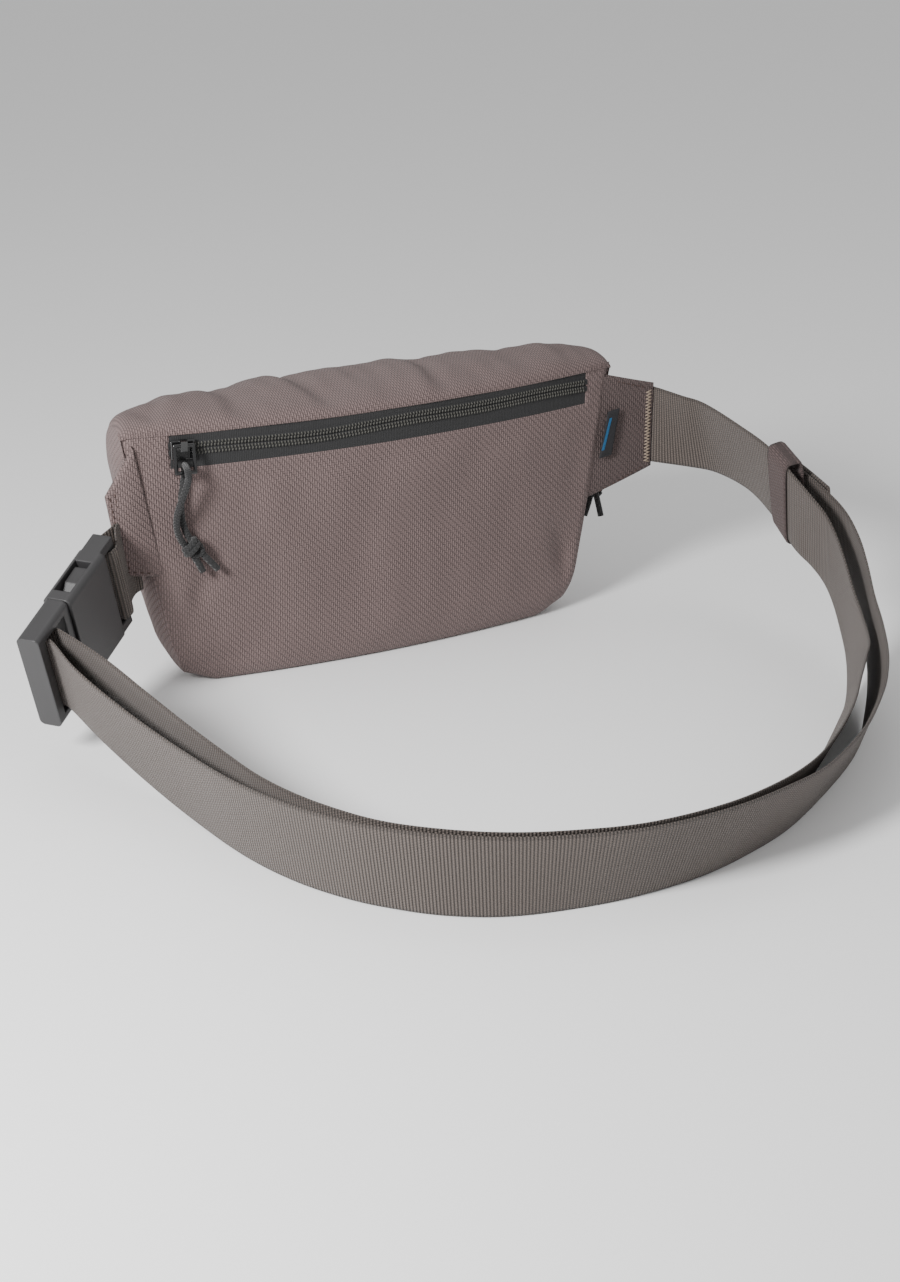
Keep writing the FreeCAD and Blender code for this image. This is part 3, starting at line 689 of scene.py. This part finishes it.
def makeDivider():
    radius = bag["backRadius"] - 8.6
    rows, uvs = [], []
    for j in range(13):
        z = 3.0 + 118.0 * j / 12
        row = []
        for i in range(61):
            s = -1.0 + 2.0 * i / 60
            x = (halfWidth(z) - 4.0 - sink(z)) * s
            y = bag["backMiddle"] + bag["backRadius"] - math.sqrt(radius ** 2 - x * x)
            row.append(Vector((x, y + sink(z), z + cornerLift(s, z))))
        rows.append(row)
        uvs.append([panelUv(p.x, p.z) for p in row])
    piece = gridPiece("pocketDivider", rows, uvs, lining)
    return rideAndReplace(piece, "bag", "pocket_divider")


makeRear()
makeTop()
makeGusset(-1, "gusset_left", "leftGusset")
makeGusset(1, "gusset_right", "rightGusset")
makeFront()
makeBase()
makeTab("zip_tab_left", "leftZipTab", -1, zipRear["left"] + 0.4)
makeTab("zip_tab_right", "rightZipTab", 1, zipRear["right"] - 0.4)
makeDivider()
print("bag panels done")


# Both zips
def backArc(x, z, out):
    r = bag["backRadius"] + out
    a = math.asin(x / bag["backRadius"])
    cy = bag["backMiddle"] + bag["backRadius"]
    return Vector((r * math.sin(a), cy - r * math.cos(a), z)), Vector((math.sin(a), -math.cos(a), 0.0))


def frontArc(x, z, out):
    r = bag["frontRadius"] + out
    a = math.asin(x / bag["frontRadius"])
    cy = frontCentre(zipMain["mid"])
    return Vector((r * math.sin(a), cy + r * math.cos(a), z)), Vector((math.sin(a), math.cos(a), 0.0))


def zipWave(x):
    # the chain wanders a little in height along the opening
    return 0.9 * math.sin(x / 34.0) + 0.4 * math.sin(x / 13.0 + 1.0)


def makeTapeStrip(name, node, arc, ends, edges, out):
    (x0, x1), (z0, z1) = ends, edges
    rows, uvs = [], []
    steps = 160
    for j in range(7):
        z = z0 + (z1 - z0) * j / 6
        row = []
        for i in range(steps + 1):
            p, normal = arc(x0 + (x1 - x0) * i / steps, z, out)
            row.append(p + normal * (0.25 * math.sin(i * 0.11) * (j / 6)))
        rows.append(row)
        uvs.append([((i / steps) * abs(x1 - x0) * mm, p.z * mm) for i, p in enumerate(row)])
    piece = gridPiece(name, rows, uvs, tapeCloth)
    return rideAndReplace(piece, "bag", node)


def makeChain(name, nodes, arc, x0, x1, zMid, rows, wave):
    # a coil row is a line of pairs of small slanted thread loops on the tape
    pitch = 1.5
    count = int(abs(x1 - x0) / pitch)
    pieces = []
    for node, sign in zip(nodes, rows):
        places = []
        for i in range(count):
            x = x0 + (x1 - x0) * (i + 0.5) / count
            for offset, tilt, height in ((0.95, 0.22, 1.05), (2.25, -0.3, 0.95)):
                p, normal = arc(x + 0.3 * (offset > 2), zMid + wave(x) + sign * offset, 0.34)
                side = Vector((-normal.y, normal.x, 0.0))
                places.append((p, Vector((0, 0, 1)) * height + side * tilt * sign, normal))
        loops = beads(name + str(sign), places, (1.5, 0.8, 0.65), coilPlastic, rings=3, sides=6)
        pieces.append((node, loops))
    return pieces


def makeBed(name, arc, x0, x1, zMid, half, out, wave):
    rows, uvs = [], []
    steps = 180
    lower = ((-half, 0.0), (-half + 0.6, 0.35), (-0.45, 0.4), (-0.12, -0.35))
    profile = lower + tuple((-dz, rise) for dz, rise in reversed(lower))
    for dz, rise in profile:
        row = []
        for i in range(steps + 1):
            x = x0 + (x1 - x0) * i / steps
            p, normal = arc(x, zMid + wave(x) + dz, out + rise)
            row.append(p)
        rows.append(row)
        uvs.append([(i / steps * abs(x1 - x0) * mm, p.z * mm) for i, p in enumerate(row)])
    return gridPiece(name, rows, uvs, tapeCloth)


def flat(x):
    return 0.0


rearLeft, rearRight, rearMid = zipRear["left"] - 1.0, zipRear["right"] + 1.0, zipRear["mid"]
rearCoils = ("rear_zip_coil_lower", "rear_zip_coil_upper")
makeTapeStrip("rearTapeLower", "rear_zip_tape_lower", backArc, (rearLeft, rearRight),
              (zipRear["low"] - 2.0, rearMid), -0.35)
makeTapeStrip("rearTapeUpper", "rear_zip_tape_upper", backArc, (rearLeft, rearRight),
              (rearMid, zipRear["top"] - 0.1), -0.35)
rearBed = makeBed("rearChainBed", backArc, rearLeft, rearRight, rearMid, 3.2, -0.3, zipWave)
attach(rearBed, "bag")
for node, loops in makeChain("rearCoil", rearCoils, backArc, -99.0, 106.0, rearMid, (-1, 1), zipWave):
    rideAndReplace(loops, "bag", node)
mainEnd, mainMid = halfWidth(zipMain["low"]) - 1.0, zipMain["mid"]
makeTapeStrip("mainTapeLower", "main_zip_tape_lower", frontArc, (mainEnd, -mainEnd),
              (zipMain["low"] - 1.5, mainMid), -0.5)
makeTapeStrip("mainTapeUpper", "main_zip_tape_upper", frontArc, (mainEnd, -mainEnd),
              (mainMid, zipMain["top"] + 0.2), -0.5)
mainBed = makeBed("mainChainBed", frontArc, mainEnd, -mainEnd, mainMid, 3.2, -0.4, flat)
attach(mainBed, "bag")
mainChain = makeChain("mainCoil", ("", ""), frontArc, mainEnd - 1, 1 - mainEnd, mainMid, (-1, 1), flat)
rideAndReplace(join("mainCoil", [loops for node, loops in mainChain]), "bag", "main_zip_coil")
print("zips done")


# The belt, its folded end and the buckle's short webbing
def buckleFrame():
    a = Vector((-0.696, -0.644, -0.316)).normalized()
    u = Vector((-0.24, -0.24, 0.94))
    u = (u - a * u.dot(a)).normalized()
    n = u.cross(a)
    m = Matrix((a, n, u)).transposed().to_4x4()
    m.translation = Vector((-132.4, -24.8, 62.0))
    return m


buckleMatrix = buckleFrame()
beltMain = [
    ((145.5, -17.2, 70.5), (145.5, -17.2, 108.5)), ((159, -31, 70), (152, -32, 107)),
    ((168, -43, 69), (158, -43, 105.5)), ((174, -62, 65), (162.5, -66.5, 101)),
    ((174, -84, 58), (166.5, -87, 95.3)), ((174.5, -100, 48.5), (169.5, -103.5, 86)),
    ((177, -111, 43), (171, -114.5, 80.3)), ((179, -119, 37), (173, -124, 74)),
    ((179, -127, 29.5), (174, -131, 67)), ((176.5, -137, 21), (171.5, -143, 58.2)),
    ((173, -147, 13), (168, -155, 49.7)), ((166.5, -158, 6), (164, -168.5, 42.5)),
    ((155.5, -172, 1.5), (157.5, -183, 37.8)), ((141, -186.5, 0), (148.5, -193.5, 36.5)),
    ((126, -200, 0), (134.5, -209, 35.9)), ((109, -215, 0), (117.5, -227.5, 34.8)),
    ((89, -231.5, 0), (96, -246.5, 34.2)), ((68, -247, 0), (73.5, -262.5, 34.3)),
    ((45, -258.5, 0), (48.5, -273.5, 34.7)), ((17, -266.8, 0), (19, -280.5, 35.4)),
    ((-15, -268.8, 0), (-15.5, -281, 36)), ((-43, -265.4, 0), (-46, -274.2, 36.8)),
    ((-64, -259.5, 0), (-68, -265.5, 37.3)), ((-82, -249, 0), (-86.5, -253.5, 37.4)),
    ((-96.5, -236, 0), (-102, -239.5, 37.4)), ((-107, -221.5, 0), (-113, -224, 37.4)),
    ((-116.5, -203, 0), (-122.8, -204.5, 37.4)), ((-124, -182, 0.5), (-130.2, -184, 38)),
    ((-130, -160, 2), (-135.5, -162, 39.5)), ((-136, -136, 6), (-142.5, -139, 43.3)),
    ((-143, -113, 12), (-150.5, -116, 49.1)), ((-151, -91, 20), (-160, -94, 56.8)),
]
beltTail = [
    ((185, -78, 51), (178, -80, 88.3)), ((187, -92, 47), (180.5, -95, 84.2)),
    ((188.5, -106, 42), (183, -109, 79.4)), ((189, -119, 36), (184.5, -123, 73.5)),
    ((187.5, -132, 29), (182.5, -137, 66.3)), ((183.5, -145, 21.5), (178, -150.5, 58.7)),
    ((176.5, -158.5, 13), (172, -165, 50)), ((167, -172.5, 6.5), (166, -180, 43.7)),
    ((155, -187, 2), (157.5, -196, 38.9)), ((141.5, -202, 0), (146.5, -211, 36.5)),
    ((125, -217, 0), (133, -226, 36)), ((101, -234, 0), (109.5, -247, 34.7)),
    ((71, -252.5, 0), (77, -268, 34.2)), ((47, -262.5, 0), (50.5, -277.5, 34.7)),
    ((18, -270.4, 0), (20, -284, 35.4)), ((-15, -272.4, 0), (-15.5, -284.5, 36)),
    ((-44, -269, 0), (-47, -277.7, 36.8)), ((-66, -263, 0), (-70, -268.7, 37.4)),
    ((-85, -252.3, 0), (-89.5, -256.5, 37.5)), ((-99.5, -239.5, 0), (-105, -243, 37.5)),
    ((-111.5, -225.5, 0), (-117.5, -228, 37.4)), ((-124, -204.5, 0), (-130.5, -206.5, 37.4)),
    ((-134, -177, 0), (-141, -179.5, 37.3)), ((-142.5, -141, 1.5), (-150.5, -144.5, 38.5)),
    ((-152, -112, 8), (-161.5, -115.5, 44.7)), ((-161.5, -89, 17.5), (-172, -92, 54)),
]
beltMain = [(Vector(a), Vector(b)) for a, b in beltMain]
beltTail = [(Vector(a), Vector(b)) for a, b in beltTail]


def localPair(x, y, half=19.0):
    return (buckleMatrix @ Vector((x, y, -half)), buckleMatrix @ Vector((x, y, half)))


# down through the slot, round the adjusting bar and back up
barTurn = [(55.65, 6.7), (55.65, 2.0), (55.65, -2.9), (56.14, -4.73), (57.5, -6.06), (59.3, -6.55),
           (61.1, -6.06), (62.46, -4.73), (62.95, -2.9), (62.95, 2.0), (62.95, 6.7)]
beltRun = beltMain + [localPair(x, y) for x, y in barTurn] + list(reversed(beltTail))
belt = strapPiece("beltStrap", beltRun, strap["thick"])
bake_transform(belt)
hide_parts("belt_main", "belt_wrap", "belt_tail")

# the tail's end is folded over twice and sewn
outward = Vector((2.5, 1.2, 0.5))
foldRun = [(a + outward, b + outward) for a, b in beltTail[:3]]
fold = strapPiece("tailFold", foldRun, strap["foldThick"])
rideAndReplace(fold, "bag", "belt_tail_fold")

stubHalf = [(-0.6, -5.45), (2.0, -5.45), (3.8, -5.2), (4.8, -4.4)]
stubPath = stubHalf + [(4.95, 0.0)] + [(x, -y) for x, y in reversed(stubHalf)]
stubEnds = [((-124.2, -20.0, 46.5), (-129.0, -20.3, 84.0)), ((-119.8, -14.6, 48.5), (-123.2, -14.6, 86.3)),
            ((-115.5, -13.8, 50.0), (-118.8, -13.8, 87.8))]
layer = [Vector((0.5, -0.55, 0.0)), Vector((0.2, -0.72, 0.0)), Vector((0.0, -0.75, 0.0))]
nearRun = [(Vector(a) + o, Vector(b) + o) for (a, b), o in zip(stubEnds, layer)]
farRun = [(Vector(a) - o, Vector(b) - o) for (a, b), o in zip(stubEnds, layer)]
stubRun = list(reversed(farRun)) + [localPair(x, y) for x, y in stubPath] + nearRun
stub = strapPiece("stubStrap", stubRun, strap["thick"], steps=6)
rideAndReplace(stub, "bag", "stub_loop", "stub_webbing")


def between(first, second, part):
    return tuple(p + (q - p) * part for p, q in zip(first, second))


keeper = {"thick": 1.2, "inside": 1.1, "room": 6.0, "hem": 0.4}


def makeKeeper():
    pairs = [(beltMain[4], between(beltTail[0], beltTail[1], 0.45)),
             (between(beltMain[4], beltMain[5], 0.75), between(beltTail[1], beltTail[2], 0.35))]
    thick, inside, room, tall = keeper["thick"], keeper["inside"], keeper["room"], strap["width"]
    frames = []
    for (ml, mh), (tl, th) in pairs:
        out = ((tl + th) - (ml + mh)) * 0.5
        up = (mh - ml).normalized()
        frames.append((ml, up, (out - up * out.dot(up)).normalized()))
    verts, uvs, faces = [], [], []
    steps, ring = 12, 64
    for i in range(steps + 1):
        s = i / steps
        base, up, out = (p + (q - p) * s for p, q in zip(*frames))
        up.normalize()
        out.normalize()
        hem = keeper["hem"] if i in (0, steps) else 0.0
        for which, grow in enumerate((inside + hem, inside + thick - hem)):
            run = 0.0
            last = None
            for k in range(ring):
                t = 2 * math.pi * (k + 0.5) / ring
                cu, co = math.cos(t), math.sin(t)
                pu = tall / 2 + math.copysign(abs(cu) ** 0.3, cu) * (tall / 2 + grow)
                po = room / 2 + math.copysign(abs(co) ** 0.42, co) * (room / 2 + grow)
                p = base + up * pu + out * po
                run += (p - last).length if last else 0.0
                last = p
                verts.append(p)
                uvs.append((run * mm, s * 0.016 + which))
    for i in range(steps):
        for which in (0, 1):
            for k in range(ring):
                a = (i * 2 + which) * ring + k
                b = (i * 2 + which) * ring + (k + 1) % ring
                quad = (a, b, b + 2 * ring, a + 2 * ring)
                faces.append(quad if which else tuple(reversed(quad)))
    for i in (0, steps):
        for k in range(ring):
            a = i * 2 * ring + k
            b = i * 2 * ring + (k + 1) % ring
            quad = (a, b, b + ring, a + ring)
            faces.append(quad if i == 0 else tuple(reversed(quad)))
    # the keeper is given the darker copy of the bag canvas: painted shade
    piece = addMesh("keeperLoop", verts, faces, uvs, paintedShadeFabric)
    return rideAndReplace(piece, "bag", "keeper_loop")


makeKeeper()
print("belt done")


# Wings, side tag and stitches
wing = {"y": -18.4, "thick": 2.4, "lowZ": 55, "highZ": 118, "tuckUnder": 4.0}


def platePiece(name, corners, y, thick, material, cup=0.0, lean=0.0, nx=36, nz=40):
    # a sewn flat piece: full in the middle, rolled thin at its edge, its root set back by lean
    a, b, c, d = [Vector((x, 0.0, z)) for x, z in corners]
    verts, uvs, faces = [], [], []
    for side in (-1, 1):
        for j in range(nz + 1):
            v = j / nz
            for i in range(nx + 1):
                u = i / nx
                p = (a * (1 - u) + b * u) * (1 - v) + (d * (1 - u) + c * u) * v
                edge = clamp(1.0 - max(abs(2 * u - 1) ** 26, abs(2 * v - 1) ** 26)) ** 0.5
                off = side * thick / 2 * edge
                wave = 0.35 * ripple(p.x, p.z, 9.0, 2.2) * edge
                wave += cup * math.sin(math.pi * u) * math.sin(math.pi * v)
                verts.append(Vector((p.x, y + thick / 2 + off - wave + lean * (1.0 - u) ** 2, p.z)))
                uvs.append((p.x * mm, p.z * mm))
    size = (nx + 1) * (nz + 1)
    for side in (0, 1):
        for j in range(nz):
            for i in range(nx):
                q = side * size + j * (nx + 1) + i
                quad = (q, q + 1, q + nx + 2, q + nx + 1)
                faces.append(quad if side == 0 else tuple(reversed(quad)))
    row = nx + 1
    border = list(range(nx)) + [j * row + nx for j in range(nz)]
    border += [nz * row + i for i in range(nx, 0, -1)] + [j * row for j in range(nz, 0, -1)]
    for k, p in enumerate(border):
        q = border[(k + 1) % len(border)]
        faces.append((q, p, p + size, q + size))
    return addMesh(name, verts, faces, uvs, material)


def stitchPlaces(points, pitch, out):
    places = []
    for start, end in zip(points, points[1:]):
        run = end - start
        count = max(1, int(run.length / pitch))
        for i in range(count):
            places.append((start + run * ((i + 0.5) / count), run, out))
    return places


def stitchRow(name, points, out, material, body="bag", pitch=2.6, size=(1.8, 0.5, 0.45)):
    piece = beads(name, stitchPlaces(points, pitch, out), size, material)
    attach(piece, body)
    return piece


outBack = Vector((0, -1, 0))
# plain stitch rows on each wing, from one x, z to another
wingRows = {"rightWing": {"Top": ((124.0, 114.3), (140.0, 109.2)), "Low": ((115.5, 60.0), (140.0, 69.3))},
            "leftWing": {"Edge": ((-124.6, 61.0), (-129.7, 97.0)), "Inner": ((-122.6, 61.5), (-127.4, 98.5)),
                         "Low": ((-124.6, 61.0), (-112.5, 58.5))}}
zigzag = {"count": 44, "pitch": 0.82, "x": 142.2, "low": 71.6, "stand": 0.12, "slant": 1.1,
          "size": (3.6, 0.6, 0.55)}


def stitchWing(name):
    for row, ends in wingRows[name].items():
        stitchRow(name + row, [Vector((x, wing["y"] - 0.35, z)) for x, z in ends], outBack, threadDark)


rootLow = halfWidth(wing["lowZ"]) - wing["tuckUnder"]
rootHigh = halfWidth(wing["highZ"]) - wing["tuckUnder"]
rightCorners = [(rootLow, wing["lowZ"]), (145.5, 68.5), (145.5, 110.5), (rootHigh, wing["highZ"])]
# the right wing is given the darker copy of the bag canvas: painted shade
rightWing = platePiece("rightWing", rightCorners, wing["y"], wing["thick"], paintedShadeFabric, cup=-0.8, lean=2.6)
rideAndReplace(rightWing, "bag", "wing_right")
stitchWing("rightWing")
zigPlaces = []
for i in range(zigzag["count"]):
    place = Vector((zigzag["x"], wing["y"] - zigzag["stand"], zigzag["low"] + i * zigzag["pitch"]))
    slant = zigzag["slant"] if i % 2 else -zigzag["slant"]
    zigPlaces.append((place, Vector((3.4, 0, slant)), outBack))
zig = beads("wingZigzag", zigPlaces, zigzag["size"], threadTan)
rideAndReplace(zig, "bag", "wing_stitching")

leftCorners = [(-rootLow, wing["lowZ"]), (-126.0, 59), (-131.5, 97), (-rootHigh, wing["highZ"])]
leftWing = platePiece("leftWing", leftCorners, wing["y"], wing["thick"], fabric, cup=1.2)
rideAndReplace(leftWing, "bag", "wing_left")
stitchWing("leftWing")

tagSize = {"low": 77.0, "high": 100.0, "stand": 1.1, "thick": 0.9}
z0, z1 = tagSize["low"], tagSize["high"]
w0, w1 = halfWidth(z0), halfWidth(z1)
tagCorners = [(w0 + 1.0, z0), (w0 + 8.0, z0 + 1.0), (w1 + 7.5, z1 + 1.0), (w1 + 1.0, z1)]
tagY = wing["y"] - tagSize["stand"]
tag = platePiece("sideTag", tagCorners, tagY, tagSize["thick"], labelCloth, nx=14, nz=24)
rideAndReplace(tag, "bag", "side_label")
bandCorners = [(w0 + 2.0, z0 + 4.0), (w0 + 3.6, z0 + 4.2), (w1 + 3.2, z1 - 3.0), (w1 + 1.8, z1 - 3.2)]
band = platePiece("sideTagBand", bandCorners, tagY - 0.25, 0.3, labelBand, nx=4, nz=12)
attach(band, "bag")
print("wings done")


# Hard pieces stay as they come from the frame
def dress(node, material):
    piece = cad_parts[node]
    piece.data.materials.clear()
    piece.data.materials.append(material)
    for poly in piece.data.polygons:
        poly.material_index = 0


for node in ("buckle_female", "buckle_male", "latch_prong_upper", "latch_prong_lower"):
    dress(node, bucklePlastic)
for node in ("rear_zip_slider", "rear_zip_puller", "main_zip_slider", "main_zip_puller"):
    dress(node, zipMetal)


# Pull cords
def cordPiece(name, points, radius=1.5):
    curve = bpy.data.curves.new(name, "CURVE")
    curve.dimensions = "3D"
    spline = curve.splines.new("NURBS")
    spline.points.add(len(points) - 1)
    for i, p in enumerate(points):
        spline.points[i].co = (p[0] * mm, p[1] * mm, p[2] * mm, 1.0)
    spline.order_u = 3
    spline.use_endpoint_u = True
    spline.resolution_u = 8
    curve.bevel_depth = radius * mm
    curve.bevel_resolution = 5
    curve.use_fill_caps = True
    curve.materials.append(cordCloth)
    piece = bpy.data.objects.new(name, curve)
    bpy.context.scene.collection.objects.link(piece)
    return piece


def tubePiece(name, points, radius, sides=12):
    verts, uvs = [], []
    run = 0.0
    side = None
    for i, p in enumerate(points):
        if i:
            run += (p - points[i - 1]).length
        ahead = (points[min(i + 1, len(points) - 1)] - points[max(i - 1, 0)]).normalized()
        if side is None:
            side = ahead.orthogonal().normalized()
        side = (side - ahead * side.dot(ahead)).normalized()
        up = ahead.cross(side)
        for k in range(sides):
            t = 2 * math.pi * k / sides
            verts.append(p + side * (radius * math.cos(t)) + up * (radius * math.sin(t)))
            uvs.append((run / 58.0, k / sides))
    return addMesh(name, verts, tubeFaces(len(points), sides), uvs, cordCloth)


def knotPiece(name, centre, along, across):
    # two wraps round both cords, then a turn that is tucked under them
    a = along.normalized()
    s = (across - a * across.dot(a)).normalized()
    o = a.cross(s)
    tubes = []
    wraps = []
    for i in range(57):
        t = i / 56
        ang = t * 2.1 * 2 * math.pi
        r = 2.9 - 0.25 * math.sin(ang * 0.5)
        turn = s * (r * math.cos(ang) * 1.12) + o * (r * math.sin(ang) * 0.9)
        wraps.append(centre + a * (-2.6 + 4.4 * t) + turn)
    tubes.append(tubePiece(name + "Wraps", wraps, 1.45))
    tuck = []
    for i in range(29):
        t = i / 28
        ang = math.pi * (0.15 + 1.5 * t)
        turn = s * (2.5 * math.cos(ang) + 0.8) + o * (1.3 - 3.0 * t)
        tuck.append(centre + a * (1.6 + 2.6 * math.sin(ang)) + turn)
    tubes.append(tubePiece(name + "Tuck", tuck, 1.4))
    return join(name, tubes)


def pull(name, body, heads, routes, lengths, knotAt, knotAlong, knotAcross):
    knot = knotPiece(name + "Knot", Vector(knotAt), Vector(knotAlong), Vector(knotAcross))
    rideAndReplace(knot, body, name + "_zip_knot")
    for label, head, route, length in zip(("outer", "inner"), heads, routes, lengths):
        piece = cordPiece(name + "Cord" + label.capitalize(), head + route)
        rideAndReplace(piece, body, name + "_zip_cord_" + label)


pull("rear", "rear_cord",
     [[(-97.1, -26.9, 108.6), (-97.5, -29.6, 108.6), (-97.8, -31.5, 106.7), (-97.8, -31.5, 103.0)],
      [(-97.1, -26.9, 108.6), (-96.6, -24.2, 108.6), (-96.3, -22.2, 106.7), (-96.3, -22.2, 103.0)]],
     [[(-101.0, -29.5, 93.5), (-102.5, -26.5, 86.0), (-102.0, -24.7, 78.0), (-98.7, -24.6, 71.0),
       (-94.0, -25.0, 65.0), (-91.0, -25.5, 58.0)],
      [(-98.5, -22.8, 93.0), (-99.0, -22.6, 85.5), (-98.0, -23.2, 78.0), (-94.8, -24.8, 71.5),
       (-89.8, -26.4, 65.0), (-84.5, -27.0, 58.5)]],
     (58.3, 58.3), (-95.6, -25.6, 69.9), (5.0, -0.8, -7.0), (1.0, 0.0, 0.7))
pull("main", "main_cord",
     [[(112.0, 24.5, 92.1), (113.3, 26.9, 92.1), (114.2, 28.7, 90.2), (114.2, 28.7, 86.5)],
      [(112.0, 24.5, 92.1), (110.8, 22.0, 92.1), (109.9, 20.3, 90.2), (109.9, 20.3, 86.5)]],
     [[(116.5, 27.6, 79.5), (122.5, 22.5, 71.5), (127.0, 16.0, 63.5), (129.0, 9.5, 55.0),
       (126.0, 6.5, 47.5), (121.5, 4.5, 39.0)],
      [(112.2, 19.2, 79.5), (118.0, 16.2, 71.5), (123.5, 11.0, 63.5), (126.3, 5.0, 55.0),
       (127.0, 1.5, 47.5), (128.0, -0.5, 39.5)]],
     (67.7, 64.8), (127.3, 6.2, 53.0), (-1.0, -3.0, -8.0), (1.0, 0.2, 0.0))
print("cords done")


# Floor, light and camera
stage = {"colour": (0.93, 0.93, 0.93), "reach": 6000.0, "height": -0.3}
lights = {
    "key": {"place": (-0.72, -0.42, 0.52), "target": (0, -0.1, 0.05), "size": 0.24, "power": 12.5},
    "fill": {"place": (0.5, -1.2, 0.7), "target": (0, -0.1, 0.05), "size": 0.8, "power": 1.6},
    "top": {"place": (0.1, 0.3, 1.4), "target": (0, -0.05, 0.05), "size": 0.7, "power": 1.1},
}
sky = {"colour": (1.0, 1.0, 1.0, 1.0), "strength": 0.6}
view = {"place": (-0.4080, -0.9036, 0.4292), "target": (-0.0133, -0.1154, 0.0441), "lens": 63.08}


def makeStage():
    mat, tree, shader = baseMaterial("paleFloor", 0.9)
    shadeColour(tree, shader, stage["colour"], mottled(tree, 2.0, 80.0, 0.01))
    r, z = stage["reach"], stage["height"]
    floor = addMesh("floor", [(-r, -r, z), (r, -r, z), (r, r, z), (-r, r, z)], [(0, 1, 2, 3)], None, mat)
    floor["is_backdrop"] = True


def lookAt(item, place, target):
    item.location = place
    item.rotation_euler = (Vector(target) - Vector(place)).to_track_quat("-Z", "Y").to_euler()
    bpy.context.scene.collection.objects.link(item)


def makeLight():
    world = bpy.data.worlds.new("studio")
    world.use_nodes = True
    background = world.node_tree.nodes["Background"]
    background.inputs[0].default_value = sky["colour"]
    background.inputs[1].default_value = sky["strength"]
    bpy.context.scene.world = world
    for name, values in lights.items():
        data = bpy.data.lights.new(name, "AREA")
        data.shape = "DISK"
        data.size = values["size"]
        data.energy = values["power"]
        lookAt(bpy.data.objects.new(name, data), values["place"], values["target"])


def makeCamera():
    data = bpy.data.cameras.new("camera")
    data.sensor_width = 36.0
    data.lens = view["lens"]
    data.clip_start = 0.01
    cam = bpy.data.objects.new("camera", data)
    lookAt(cam, view["place"], view["target"])
    bpy.context.scene.camera = cam


makeStage()
makeLight()
makeCamera()
print("stage done")


def plainLists(value):
    if isinstance(value, dict):
        return {k: plainLists(v) for k, v in value.items()}
    if hasattr(value, "__len__") and not isinstance(value, str):
        return [plainLists(v) for v in value]
    return value if isinstance(value, str) else float(value)


{"cad": plainLists(startBounds), "visual": plainLists(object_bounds())}
